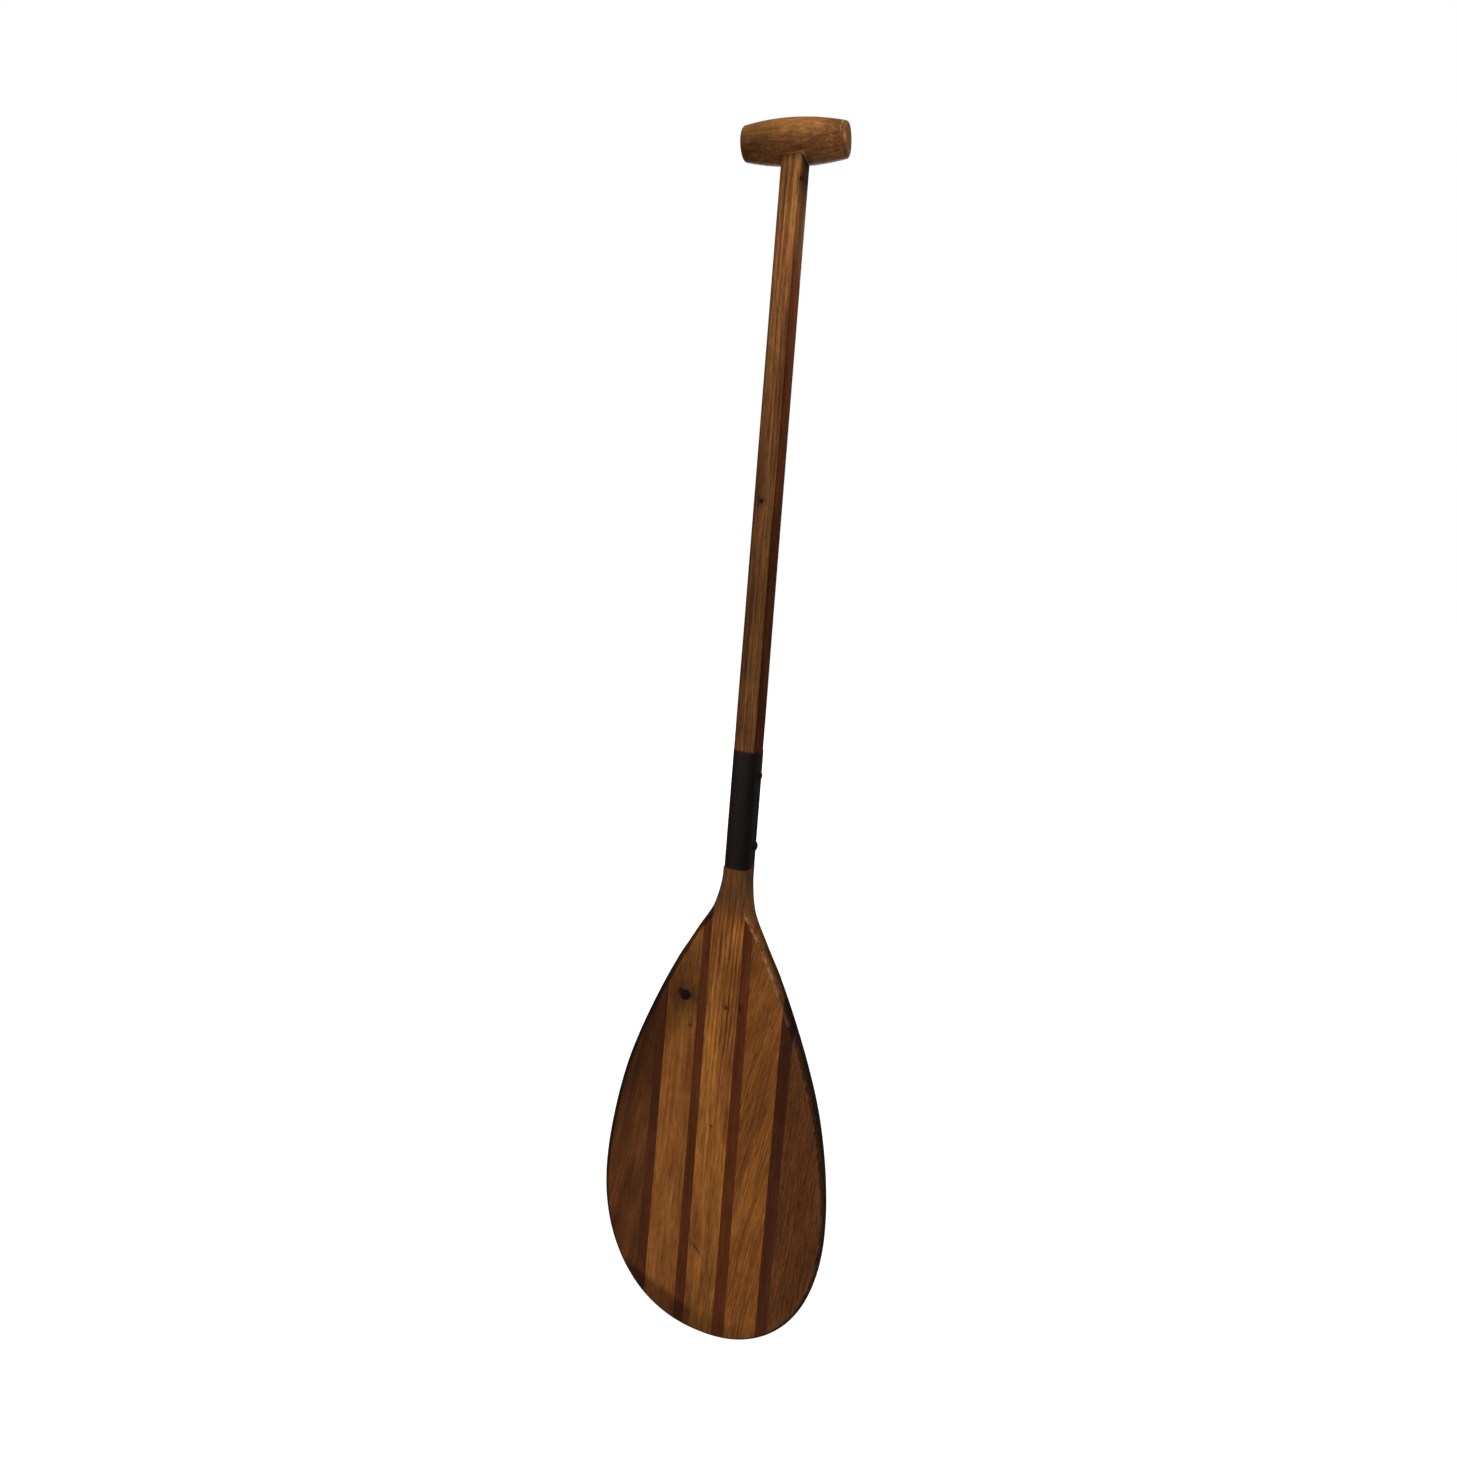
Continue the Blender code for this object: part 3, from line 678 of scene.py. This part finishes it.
def build_grip(looks):
    bm = bmesh.new()
    loft(bm, [(along, circle(radius, GRIP_SIDES)) for along, radius in grip_outline()])
    mesh = finish_mesh(bm, "grip")
    mesh.transform(Matrix.Translation((GRIP_OFFSET, 0.0, GRIP_AXIS_Z))
                   @ Matrix.Rotation(GRIP_TWIST, 4, "Z") @ LAY_DOWN)
    piece = add_piece("grip", mesh, "t_grip", looks["grip"])
    hole = bmesh.new()
    section = rounded_rectangle(SHAFT_WIDTH + 2 * MORTISE_PLAY,
                                SHAFT_DEPTH + 2 * MORTISE_PLAY,
                                SHAFT_ROUND + MORTISE_PLAY)
    loft(hole, [(GRIP_AXIS_Z - 2 * GRIP_RADIUS, section), (MORTISE_TOP, section)])
    boolean(piece, finish_mesh(hole, "hole"), "DIFFERENCE")


# ---- materials ----
def tone(red, green, blue):
    """A scene colour from ordinary 0-255 display values."""
    def linear(value):
        value /= 255
        return value / 12.92 if value < 0.04045 else ((value + 0.055) / 1.055) ** 2.4
    return linear(red), linear(green), linear(blue), 1.0


class Nodes:
    """Short ways to wire a material's nodes; every method returns an output socket."""

    def __init__(self, name):
        self.material = bpy.data.materials.new(name)
        self.material.use_nodes = True
        self.tree = self.material.node_tree
        self.shader = self.tree.nodes["Principled BSDF"]
        coords = self.tree.nodes.new("ShaderNodeTexCoord")
        self.place = coords.outputs["Object"]
        split = self.add("ShaderNodeSeparateXYZ", Vector=self.place)
        self.x, self.y, self.z = split.outputs

    def add(self, kind, settings=(), **inputs):
        node = self.tree.nodes.new(kind)
        for key, value in settings:
            setattr(node, key, value)
        for key, value in inputs.items():
            self.put(node.inputs[key.replace("_", " ")], value)
        return node

    def put(self, socket, value):
        if isinstance(value, bpy.types.NodeSocket):
            self.tree.links.new(value, socket)
        else:
            socket.default_value = value

    def math(self, operation, *values):
        node = self.tree.nodes.new("ShaderNodeMath")
        node.operation = operation
        for socket, value in zip(node.inputs, values):
            self.put(socket, value)
        return node.outputs[0]

    def line(self, value, rise, start):
        return self.math("MULTIPLY_ADD", value, rise, start)

    def minus(self, value, less):
        return self.math("SUBTRACT", value, less)

    def length(self, u, v):
        return self.math("SQRT", self.math("ADD", self.times(u, u), self.times(v, v)))

    def times(self, *values):
        made = values[0]
        for value in values[1:]:
            made = self.math("MULTIPLY", made, value)
        return made

    def near(self, value, centre, reach):
        """1 at the centre, falling away smoothly over about the reach on either side."""
        off = self.math("DIVIDE", self.minus(value, centre), reach)
        return self.math("EXPONENT", self.times(off, off, -1.0))

    def follow(self, a, b, grain, seed):
        """Makes later noise run with the grain, along the new third axis."""
        self.place = self.add("ShaderNodeCombineXYZ", X=a, Y=b, Z=grain).outputs[0]
        self.shift = (seed * 3.7, seed * 1.9, seed * 5.3)

    def noise(self, scale, detail=3.0, offset=(0.0, 0.0, 0.0), roughness=0.55):
        mapped = self.add("ShaderNodeMapping", Vector=self.place, Scale=scale,
                          Location=offset)
        node = self.add("ShaderNodeTexNoise", Vector=mapped.outputs[0], Scale=1.0,
                        Detail=detail, Roughness=roughness)
        return node.outputs["Fac"]

    def grain(self, across, along, detail=3.0, roughness=0.55):
        """Noise with one scale across the grain and another along it."""
        return self.noise((across, across, along), detail, self.shift, roughness)

    def ramp(self, value, stops):
        """Piecewise ramp: stops are (position, grey or colour)."""
        node = self.add("ShaderNodeValToRGB", Fac=value)
        elements = node.color_ramp.elements
        while len(elements) < len(stops):
            elements.new(0.5)
        for element, (position, level) in zip(elements, stops):
            element.position = position
            if isinstance(level, float):
                level = (level, level, level, 1.0)
            element.color = level
        return node.outputs["Color"]

    def levels(self, value, stops):
        """A level from 0 to 2 that follows (value, level) stops."""
        first, last = stops[0][0], stops[-1][0]
        share = self.math("DIVIDE", self.minus(value, first), last - first)
        halves = [((at - first) / (last - first), level / 2) for at, level in stops]
        return self.times(self.ramp(share, halves), 2.0)

    def between(self, value, low, high, to_low=0.0, to_high=1.0):
        node = self.add("ShaderNodeMapRange", [("interpolation_type", "SMOOTHSTEP")],
                        Value=value, From_Min=low, From_Max=high, To_Min=to_low,
                        To_Max=to_high)
        return node.outputs["Result"]

    def fade(self, value, low, high):
        return self.between(value, low, high, 1.0, 0.0)

    def mix(self, factor, one, two, blend="MIX"):
        node = self.tree.nodes.new("ShaderNodeMix")
        node.data_type = "RGBA"
        node.blend_type = blend
        self.put(node.inputs["Factor"], factor)
        self.put(node.inputs[6], one)
        self.put(node.inputs[7], two)
        return node.outputs[2]

    def bump(self, height, strength, distance):
        node = self.add("ShaderNodeBump", Height=height, Strength=strength,
                        Distance=distance)
        self.put(self.shader.inputs["Normal"], node.outputs[0])

    def shade(self, colour, level):
        """Multiplies a colour by a grey level."""
        grey = self.add("ShaderNodeCombineXYZ", X=level, Y=level, Z=level).outputs[0]
        return self.mix(1.0, colour, grey, "MULTIPLY")

    def dim(self, colour, mask, change):
        """Multiplies a colour by 1 + change where the mask is 1."""
        return self.shade(colour, self.line(mask, change, 1.0))

    def mark(self, name):
        return self.add("ShaderNodeAttribute", [("attribute_name", name)]).outputs["Fac"]


# What a piece of wood looks like unless its own entry says otherwise. pith is where the
# growth rings' axis lies across the piece, lean how far the grain runs sideways per
# length, and sweep how much it curves. spacing, rings, ring_levels and wobble are the
# growth rings' distance, contrast, contrast along the grain and unevenness.
# streak, fleck, blotch, dash and thread are the contrasts of noises of different sizes,
# from long threads to soft blotches, short shortens them all, and pores are dark specks.
# gloss is the shader's specular level. levels are (z, brightness), bands soft stripes
# (x at z = 0, lean, reach, level, lowest z, highest z) and knots (x, z, half width, half
# height, tilt, darkness).
PLAIN_WOOD = {"pith": (1.0, 0.0), "lean": 0.0, "sweep": 0.0, "spacing": 0.004,
              "rings": 0.4, "ring_levels": (), "wobble": 0.0012, "streak": 0.16,
              "fleck": 0.16, "blotch": 0.12, "dash": 0.05, "thread": 0.1, "short": 1.0,
              "pores": 0.45, "roughness": 0.52, "gloss": 0.07, "along": "Z",
              "levels": (), "bands": (), "knots": ()}
BURN = (26, 14, 9)            # the darkest tone of knots and stains


def knot_marks(n, knots, radius, shiver):
    """Darkness of all knots, and the growth rings' radius bent round them."""
    spots = None
    for at_x, at_z, wide, tall, tilt, darkness in knots:
        off_x = n.minus(n.x, at_x)
        off_z = n.minus(n.z, at_z)
        u = n.math("DIVIDE", n.line(off_z, -tilt, off_x), wide)
        v = n.math("DIVIDE", off_z, tall)
        away = n.length(u, v)
        ragged = n.line(shiver, 0.9, away)
        core = n.between(ragged, 0.72, 1.12, darkness, 0.0)
        halo = n.between(ragged, 0.9, 3.2, darkness * 0.42, 0.0)
        spot = n.math("MAXIMUM", core, halo)
        spots = spot if spots is None else n.math("MAXIMUM", spots, spot)
        pull = n.math("EXPONENT", n.times(away, away, -0.16))
        radius = n.line(pull, wide * 1.3 * darkness, radius)
    return spots, radius


def wood(name, light, warm, dark, seed, finish, **changes):
    """Sawn wood under an old finish; finish(nodes, colour) adds a piece's own marks."""
    spec = {**PLAIN_WOOD, **changes}
    n = Nodes(name)
    across, grain = (n.x, n.z) if spec["along"] == "Z" else (n.z, n.x)
    a = n.line(grain, -spec["lean"], across)
    if spec["sweep"]:
        a = n.line(n.times(grain, grain), -spec["sweep"], a)
    n.follow(a, n.y, n.times(grain, spec["short"]), seed)
    radius = n.length(n.minus(a, spec["pith"][0]), n.minus(n.y, spec["pith"][1]))
    drift = n.minus(n.grain(26.0, 4.5, 2.0), 0.5)
    shiver = n.minus(n.grain(160.0, 22.0, 2.0), 0.5)
    radius = n.line(drift, spec["wobble"] * 6, radius)
    radius = n.line(shiver, spec["wobble"], radius)
    spots, radius = knot_marks(n, spec["knots"], radius, shiver)

    ring = n.math("FRACT", n.math("DIVIDE", radius, spec["spacing"]))
    late = n.ramp(ring, [(0.0, 0.0), (0.4, 0.05), (0.7, 0.45), (0.88, 1.0), (1.0, 0.0)])
    depth = n.times(late, spec["rings"], n.between(n.grain(80.0, 14.0), 0.3, 0.7, 0.2, 1.0))
    if spec["ring_levels"]:
        depth = n.times(depth, n.levels(grain, spec["ring_levels"]))
    hue = n.between(n.grain(38.0, 7.0), 0.38, 0.64)
    colour = n.mix(depth, n.mix(hue, tone(*light), tone(*warm)), tone(*dark))
    streak = n.grain(310.0, 24.0, 3.0, 0.6)
    fleck = n.grain(720.0, 75.0, 2.0, 0.6)
    for value, swing in [(streak, spec["streak"]), (fleck, spec["fleck"]),
                         (n.grain(62.0, 21.0), spec["blotch"]),
                         (n.grain(580.0, 150.0, 2.0), spec["dash"]),
                         (n.grain(430.0, 5.0, 2.0), spec["thread"])]:
        colour = n.shade(colour, n.between(value, 0.33, 0.67, 1 - swing, 1 + swing))
    pores = n.between(n.grain(800.0, 60.0, 1.0), 0.64, 0.76, 0.0, spec["pores"])
    colour = n.mix(pores, colour, tone(*(0.6 * value for value in dark)))
    for foot, lean, reach, level, lowest, highest in spec["bands"]:
        stripe = n.near(n.line(n.z, -lean, n.x), foot, reach)
        stripe = n.times(stripe, n.between(n.z, lowest - 0.02, lowest + 0.02),
                         n.fade(n.z, highest - 0.02, highest + 0.02))
        colour = n.dim(colour, stripe, level - 1)
    if spec["levels"]:
        colour = n.shade(colour, n.levels(n.z, spec["levels"]))
    if spots is not None:
        colour = n.mix(spots, colour, tone(*BURN))
    n.put(n.shader.inputs["Base Color"], finish(n, colour))
    n.put(n.shader.inputs["Roughness"],
          n.between(streak, 0.3, 0.7, spec["roughness"] - 0.06, spec["roughness"] + 0.1))
    n.shader.inputs["Specular IOR Level"].default_value = spec["gloss"]
    relief = n.math("ADD", n.times(late, -0.55), n.times(fleck, 0.9))
    n.bump(relief, 0.3, 0.00035)
    return n.material


def blade_finish(n, colour):
    """Painted shade on the chamfer, outer wall and toe, and a ridge line of wear and
    painted highlight.
    """
    wall, beyond, ridge = n.mark("wall"), n.mark("beyond"), n.mark("ridge")
    # Painted shade beyond the ridge: full below the shoulders and up the left side, weaker
    # on the right shoulder.
    left = n.fade(n.x, -0.012, -0.004)
    left = n.times(left, n.fade(n.z, 0.436, 0.452))
    painted_edge_shade = n.math("MAXIMUM", n.between(n.z, 0.352, 0.44, 1.0, 0.34), left)
    colour = n.dim(colour, n.times(beyond, painted_edge_shade), -0.7)
    # Painted shade on the outer wall below the shoulders.
    high = n.fade(n.z, 0.41, 0.45)
    colour = n.dim(colour, n.times(wall, high), -0.6)
    # A light line along the right-hand ridge, partly wear and partly painted highlight,
    # strongest on the shoulder.
    right = n.between(n.x, 0.01, 0.018)
    strong = n.times(n.between(n.z, 0.35, 0.4), n.fade(n.z, 0.446, 0.452))
    broken = n.between(n.noise((120.0,) * 3, 4.0), 0.36, 0.66)
    worn = n.times(ridge, right, n.line(strong, 0.56, 0.18), broken)
    colour = n.mix(worn, colour, tone(178, 128, 96))
    # Painted shade in a wavy band along the bottom of the toe, widest and strongest on the
    # left.
    climb = n.math("MAXIMUM", n.line(n.x, -1.0, -0.01), 0.0)
    wavy = n.minus(n.noise((60.0,) * 3), 0.5)
    edge = n.line(climb, 0.34, 0.026)
    below = n.minus(n.line(wavy, 0.014, n.z), edge)
    toe = n.times(n.fade(below, -0.011, -0.0005),
                  n.between(n.x, -0.022, -0.01, 1.0, 0.42))
    return n.dim(colour, toe, -0.56)


def centre_finish(n, colour):
    """The neck is browner than the blade below it."""
    neck = n.between(n.z, 0.436, 0.462)
    strokes = n.between(n.grain(420.0, 38.0, 2.0), 0.36, 0.66, 0.66, 1.4)
    brown = n.shade(tone(92, 62, 36), strokes)
    return blade_finish(n, n.mix(n.times(neck, 0.6), colour, brown))


def inner_right_finish(n, colour):
    """The top of this strip, beyond the ridge, is faired over in the neck's own tone."""
    over = n.times(n.mark("beyond"), n.between(n.z, 0.424, 0.434))
    return blade_finish(n, n.mix(over, colour, tone(118, 74, 38)))


def shaft_finish(n, colour):
    """Painted shadow of the grip atop the right side, painted shade where the shaft enters
    the grip, and a dark line on the arris.
    """
    side = n.between(n.x, 0.0108, 0.013)
    colour = n.mix(n.times(side, 0.35), colour, tone(112, 62, 30))
    # Painted shadow of the grip on the right side just below it.
    colour = n.dim(colour, n.times(side, n.between(n.z, 1.205, 1.236)), -0.62)
    # Painted shade where the shaft goes into the grip's mortise.
    colour = n.dim(colour, n.between(n.z, 1.248, 1.258), -0.45)
    arris = n.times(n.near(n.x, 0.0116, 0.0011), n.fade(n.y, -0.012, -0.009))
    return n.dim(colour, arris, -0.42)


def side_finish(n, colour):
    """The shaft's dark laminations are darkest along the front arris."""
    arris = n.times(n.fade(n.x, 0.0126, 0.0133), n.fade(n.y, -0.0125, -0.0095))
    return n.dim(colour, arris, -0.55)


def grip_finish(n, colour):
    """Painted light on the upper half, yellower in the middle, painted light and shade at
    the right end, painted light under it, painted highlights on the right arris and the
    mortise's rim, and a paler end face with a bright spot."""
    # Painted light on the upper half: lighter and yellower near the middle, darker toward
    # the ends.
    top = n.between(n.z, GRIP_AXIS_Z - 0.006, GRIP_AXIS_Z + 0.006)
    painted_top_light = n.line(n.near(n.x, 0.01, 0.03), 0.34, -0.2)
    colour = n.dim(colour, top, painted_top_light)
    colour = n.mix(n.times(top, 0.1), colour, tone(196, 140, 60))
    # Painted light and shade at the right end: darker above, lighter below, to flatten its
    # shading.
    end_painted_light_and_shade = n.between(n.z, GRIP_AXIS_Z - 0.012, GRIP_AXIS_Z - 0.003, 0.24, -0.26)
    end_painted_light_and_shade = n.times(n.between(n.x, 0.032, 0.042), end_painted_light_and_shade)
    colour = n.shade(colour, n.math("ADD", end_painted_light_and_shade, 1.0))
    # Painted light on the underside near the right end.
    low = n.times(n.fade(n.z, GRIP_AXIS_Z - 0.02, GRIP_AXIS_Z - 0.012),
                  n.near(n.x, 0.036, 0.018))
    colour = n.mix(n.times(low, 0.22), colour, tone(168, 124, 88))
    right = GRIP_OFFSET + GRIP_LENGTH / 2
    # Painted highlight, broken up, along the arris of the right end.
    arris = n.times(n.near(n.x, right - 0.0042, 0.001),
                    n.between(n.noise((150.0,) * 3), 0.42, 0.62))
    colour = n.mix(n.times(arris, 0.45), colour, tone(204, 158, 112))
    end = n.between(n.x, right - 0.0016, right - 0.0006)
    colour = n.mix(n.times(end, 0.45), colour, tone(150, 96, 48))
    spot = n.times(end, n.near(n.z, GRIP_AXIS_Z - 0.005, 0.004), n.near(n.y, -0.012, 0.006))
    colour = n.mix(n.times(spot, 0.55), colour, tone(226, 150, 92))
    # Painted highlight on the mortise's rim, on its underside and right, not its left.
    off_x = n.minus(n.math("ABSOLUTE", n.x), SHAFT_WIDTH / 2 + MORTISE_PLAY)
    off_y = n.minus(n.math("ABSOLUTE", n.y), SHAFT_DEPTH / 2 + MORTISE_PLAY)
    rim = n.fade(n.math("MAXIMUM", off_x, off_y), 0.0, 0.0016)
    rim = n.times(rim, n.fade(n.z, GRIP_AXIS_Z - 0.006, GRIP_AXIS_Z),
                  n.between(n.x, -0.012, -0.004))
    return n.mix(n.times(rim, 0.7), colour, tone(186, 140, 96))


def sleeve_look():
    """Matt black with a painted highlight down the front, painted shade beside it and on
    the right side, and brown grime on its rims.
    """
    n = Nodes("sleeve_look")
    mottle = n.noise((90.0, 90.0, 40.0), 4.0)
    scuff = n.between(n.noise((60.0, 60.0, 300.0), 3.0, (4.0, 1.0, 2.0)), 0.6, 0.76)
    colour = n.mix(mottle, tone(17, 13, 11), tone(30, 23, 19))
    colour = n.mix(n.times(scuff, 0.25), colour, tone(44, 35, 29))
    # Painted highlight left of the middle of the front, with painted shade to its right and
    # at the left edge.
    sheen = n.line(n.near(n.x, -0.002, 0.005), 0.34, 0.96)
    shade = n.between(n.x, 0.004, 0.01, 1.0, 0.66)
    edge = n.between(n.x, -0.014, -0.01, 0.76, 1.0)
    colour = n.shade(colour, n.times(sheen, shade, edge))
    # Painted shade, warm brown, on the right side.
    colour = n.mix(n.between(n.x, 0.011, 0.0135, 0.0, 0.8), colour, tone(21, 12, 8))
    middle = (SLEEVE_TOP + SLEEVE_BOTTOM) / 2
    from_middle = n.math("ABSOLUTE", n.minus(n.z, middle))
    rim = n.between(from_middle, SLEEVE_TOP - middle - 0.0016, SLEEVE_TOP - middle - 0.0008)
    colour = n.mix(n.times(rim, 0.6), colour, tone(64, 28, 20))
    n.put(n.shader.inputs["Base Color"], colour)
    n.put(n.shader.inputs["Roughness"], n.between(mottle, 0.3, 0.7, 0.48, 0.62))
    n.shader.inputs["Specular IOR Level"].default_value = 0.1
    n.bump(n.noise((120.0, 120.0, 50.0), 2.0), 0.3, 0.0006)
    return n.material


def screw_look():
    n = Nodes("screw_look")
    grime = n.noise((700.0,) * 3)
    n.put(n.shader.inputs["Base Color"], n.mix(grime, tone(14, 12, 11), tone(44, 38, 33)))
    n.put(n.shader.inputs["Roughness"], n.between(grime, 0.3, 0.7, 0.34, 0.58))
    n.shader.inputs["Metallic"].default_value = 0.75
    n.bump(n.noise((1500.0,) * 3, 2.0), 0.2, 0.0001)
    return n.material


ACCENT = {"rings": 0.2, "blotch": 0.1, "streak": 0.1, "fleck": 0.1}
# name, light, warm and dark tone, seed, finish and what differs from PLAIN_WOOD
WOODS = [
    ("plank_centre", (154, 97, 42), (136, 82, 38), (86, 46, 19), 1.0, centre_finish, dict(
     lean=0.02, spacing=0.0042, rings=0.8, wobble=0.0026,
     blotch=0.17, streak=0.2,
     ring_levels=[(0.0, 0.15), (0.26, 0.3), (0.32, 1.7), (0.43, 1.6), (0.5, 0.9)],
     levels=[(0.0, 0.54), (0.05, 0.77), (0.12, 0.88), (0.2, 1.04), (0.28, 1.05),
             (0.33, 1.04), (0.385, 0.7), (0.43, 1.06), (0.452, 0.62), (0.49, 0.54)],
     bands=[(-0.0035, -0.02, 0.0075, 1.1, 0.06, 0.42),
            (0.013, 0.0, 0.003, 0.84, 0.12, 0.3)],
     knots=[(0.0034, 0.3471, 0.0014, 0.0016, 0.0, 0.95),
            (-0.003, 0.2195, 0.0011, 0.0011, 0.0, 0.8),
            (-0.0077, 0.0855, 0.0009, 0.0042, -1.0, 0.75)])),
    ("plank_left", (144, 90, 41), (132, 78, 35), (88, 48, 20), 2.0, blade_finish, dict(
     pith=(-0.3, 0.05), lean=0.03, spacing=0.006, rings=0.28,
     levels=[(0.0, 0.84), (0.05, 1.02), (0.12, 1.04), (0.18, 1.14), (0.24, 1.1),
             (0.29, 0.98), (0.33, 0.6), (0.38, 0.43), (0.42, 0.8)],
     bands=[(-0.0335, 0.0, 0.004, 0.74, 0.1, 0.3)],
     knots=[(-0.0438, 0.3496, 0.0084, 0.007, 0.2, 1.0),
            (-0.0498, 0.3522, 0.0052, 0.0044, 0.0, 0.9),
            (-0.0363, 0.319, 0.0012, 0.0012, 0.0, 0.85)])),
    ("plank_right", (150, 92, 40), (131, 78, 34), (74, 40, 17), 3.0, blade_finish, dict(
     pith=(-1.0, 0.0), lean=0.15, sweep=0.14, spacing=0.0028, rings=0.8,
     wobble=0.0032, streak=0.2,
     ring_levels=[(0.0, 1.0), (0.2, 1.1), (0.3, 0.75), (0.42, 0.45)],
     bands=[(-0.0528, 0.28, 0.0014, 1.18, 0.28, 0.34),
            (-0.0492, 0.36, 0.0016, 1.16, 0.2, 0.28),
            (0.03, 0.05, 0.002, 1.12, 0.03, 0.17),
            (0.048, 0.02, 0.005, 0.88, 0.14, 0.3)],
     levels=[(0.0, 0.94), (0.08, 1.08), (0.17, 1.06), (0.225, 0.91), (0.3, 0.75),
             (0.35, 0.8), (0.39, 0.7)])),
    ("edge_left", (104, 61, 29), (84, 46, 22), (50, 26, 12), 4.0, blade_finish, dict(
     pith=(-1.0, 0.0), lean=0.17, spacing=0.014, rings=0.42, wobble=0.003,
     streak=0.1, fleck=0.12,
     # The upper part is darker: painted shade.
     levels=[(0.0, 0.92), (0.18, 0.97), (0.24, 0.72), (0.3, 0.56)])),
    ("edge_right", (102, 60, 30), (90, 52, 26), (50, 27, 14), 5.0, blade_finish, dict(
     pith=(-1.0, 0.0), lean=0.11, spacing=0.0033, rings=0.45, wobble=0.0018,
     fleck=0.2, streak=0.14, dash=0.12, thread=0.14,
     bands=[(0.108, 0.0, 0.01, 0.82, 0.06, 0.2)])),
    ("accent_inner", (92, 47, 22), (84, 42, 20), (58, 28, 13), 6.0, blade_finish, dict(
     ACCENT,
     levels=[(0.0, 0.94), (0.12, 0.86), (0.22, 0.94), (0.33, 1.06), (0.41, 0.82)])),
    ("accent_inner_right", (94, 47, 22), (86, 43, 20), (58, 28, 13), 6.5,
     inner_right_finish, dict(
     ACCENT,
     levels=[(0.0, 1.06), (0.12, 1.02), (0.2, 0.86), (0.33, 0.98), (0.42, 1.0)],
     knots=[(0.0195, 0.35, 0.0022, 0.003, 0.0, 0.6)])),
    ("accent_outer", (78, 40, 22), (70, 35, 19), (48, 24, 13), 7.0, blade_finish, dict(
     ACCENT, streak=0.08, fleck=0.08,
     levels=[(0.0, 1.14), (0.12, 1.1), (0.22, 0.98), (0.3, 0.8)])),
    ("shaft", (150, 99, 50), (130, 78, 42), (86, 43, 22), 8.0, shaft_finish, dict(
     lean=0.004, spacing=0.0052, rings=0.36, streak=0.2, dash=0.08, thread=0.34,
     wobble=0.0014,
     levels=[(0.6, 0.58), (0.64, 0.55), (0.7, 0.41), (0.81, 0.38), (0.92, 0.56),
             (1.02, 0.7), (1.08, 0.72), (1.13, 1.14), (1.17, 1.18), (1.21, 0.82),
             (1.25, 0.8)],
     bands=[(-0.01, 0.0, 0.0028, 0.8, 0.6, 1.26),
            (-0.006, 0.004, 0.0012, 0.78, 0.9, 1.2),
            (0.001, 0.0, 0.003, 1.12, 0.6, 1.26),
            (-0.004, 0.0, 0.0008, 0.58, 1.13, 1.25),
            (0.0019, 0.0, 0.0007, 0.64, 1.14, 1.24),
            (0.0519, -0.05, 0.0008, 0.58, 1.01, 1.1),
            (0.0267, -0.02, 0.0007, 0.6, 1.02, 1.14),
            (0.019, -0.015, 0.0007, 0.54, 0.92, 1.03),
            (0.0097, -0.01, 0.0007, 0.56, 0.88, 1.03),
            (0.0182, -0.01, 0.0007, 0.6, 0.86, 1.03),
            (0.0057, 0.0, 0.0006, 0.58, 0.84, 0.97),
            (0.0012, 0.0, 0.0008, 0.6, 0.74, 0.86),
            (-0.006, 0.0, 0.0008, 0.6, 0.62, 0.88),
            (0.007, 0.0, 0.0007, 0.64, 0.62, 0.8)],
     knots=[(-0.0028, 0.8872, 0.0026, 0.0032, 0.0, 1.0),
            (0.012, 1.233, 0.0018, 0.004, 0.2, 0.85)])),
    ("shaft_side", (115, 57, 24), (99, 45, 19), (54, 27, 13), 9.0, side_finish, dict(
     gloss=0.05, roughness=0.64, rings=0.35, spacing=0.006,
     levels=[(0.6, 0.7), (0.72, 0.5), (0.82, 0.56), (0.92, 0.74), (1.08, 1.08),
             (1.15, 1.42)])),
    ("grip", (120, 78, 40), (112, 68, 35), (76, 46, 24), 12.3, grip_finish, dict(
     pith=(GRIP_AXIS_Z - 0.03, 0.03), spacing=0.005, rings=0.22, along="X",
     short=4.5, streak=0.2, fleck=0.2, blotch=0.17, dash=0.16, thread=0.16,
     # The grip's levels are painted light: its underside and top are lighter than its
     # middle.
     levels=[(GRIP_AXIS_Z + rise, level) for rise, level in (
         (-0.024, 1.55), (-0.019, 1.35), (-0.015, 1.04), (-0.01, 0.95),
         (-0.005, 1.08), (0.0015, 1.26), (0.008, 1.4), (0.024, 1.4))],
     bands=[(0.034, 0.0, 0.018, 1.18, 1.2, 1.35),
            (-0.052, 0.0, 0.018, 0.74, 1.2, 1.35),
            (-0.03, 0.0, 0.014, 0.84, 1.27, 1.35)])),
]


def make_looks():
    looks = {}
    for name, *look, changes in WOODS:
        looks[name] = wood(name, *look, **changes)
    looks["sleeve"] = sleeve_look()
    looks["screw"] = screw_look()
    return looks


# ---- scene ----
make_stage()
LOOKS = make_looks()
build_blade(LOOKS)
build_shaft(LOOKS)
build_sleeve(LOOKS)
for screw_node, screw_place, screw_turn in SCREWS:
    build_screw(screw_node, screw_place, screw_turn, LOOKS)
build_grip(LOOKS)
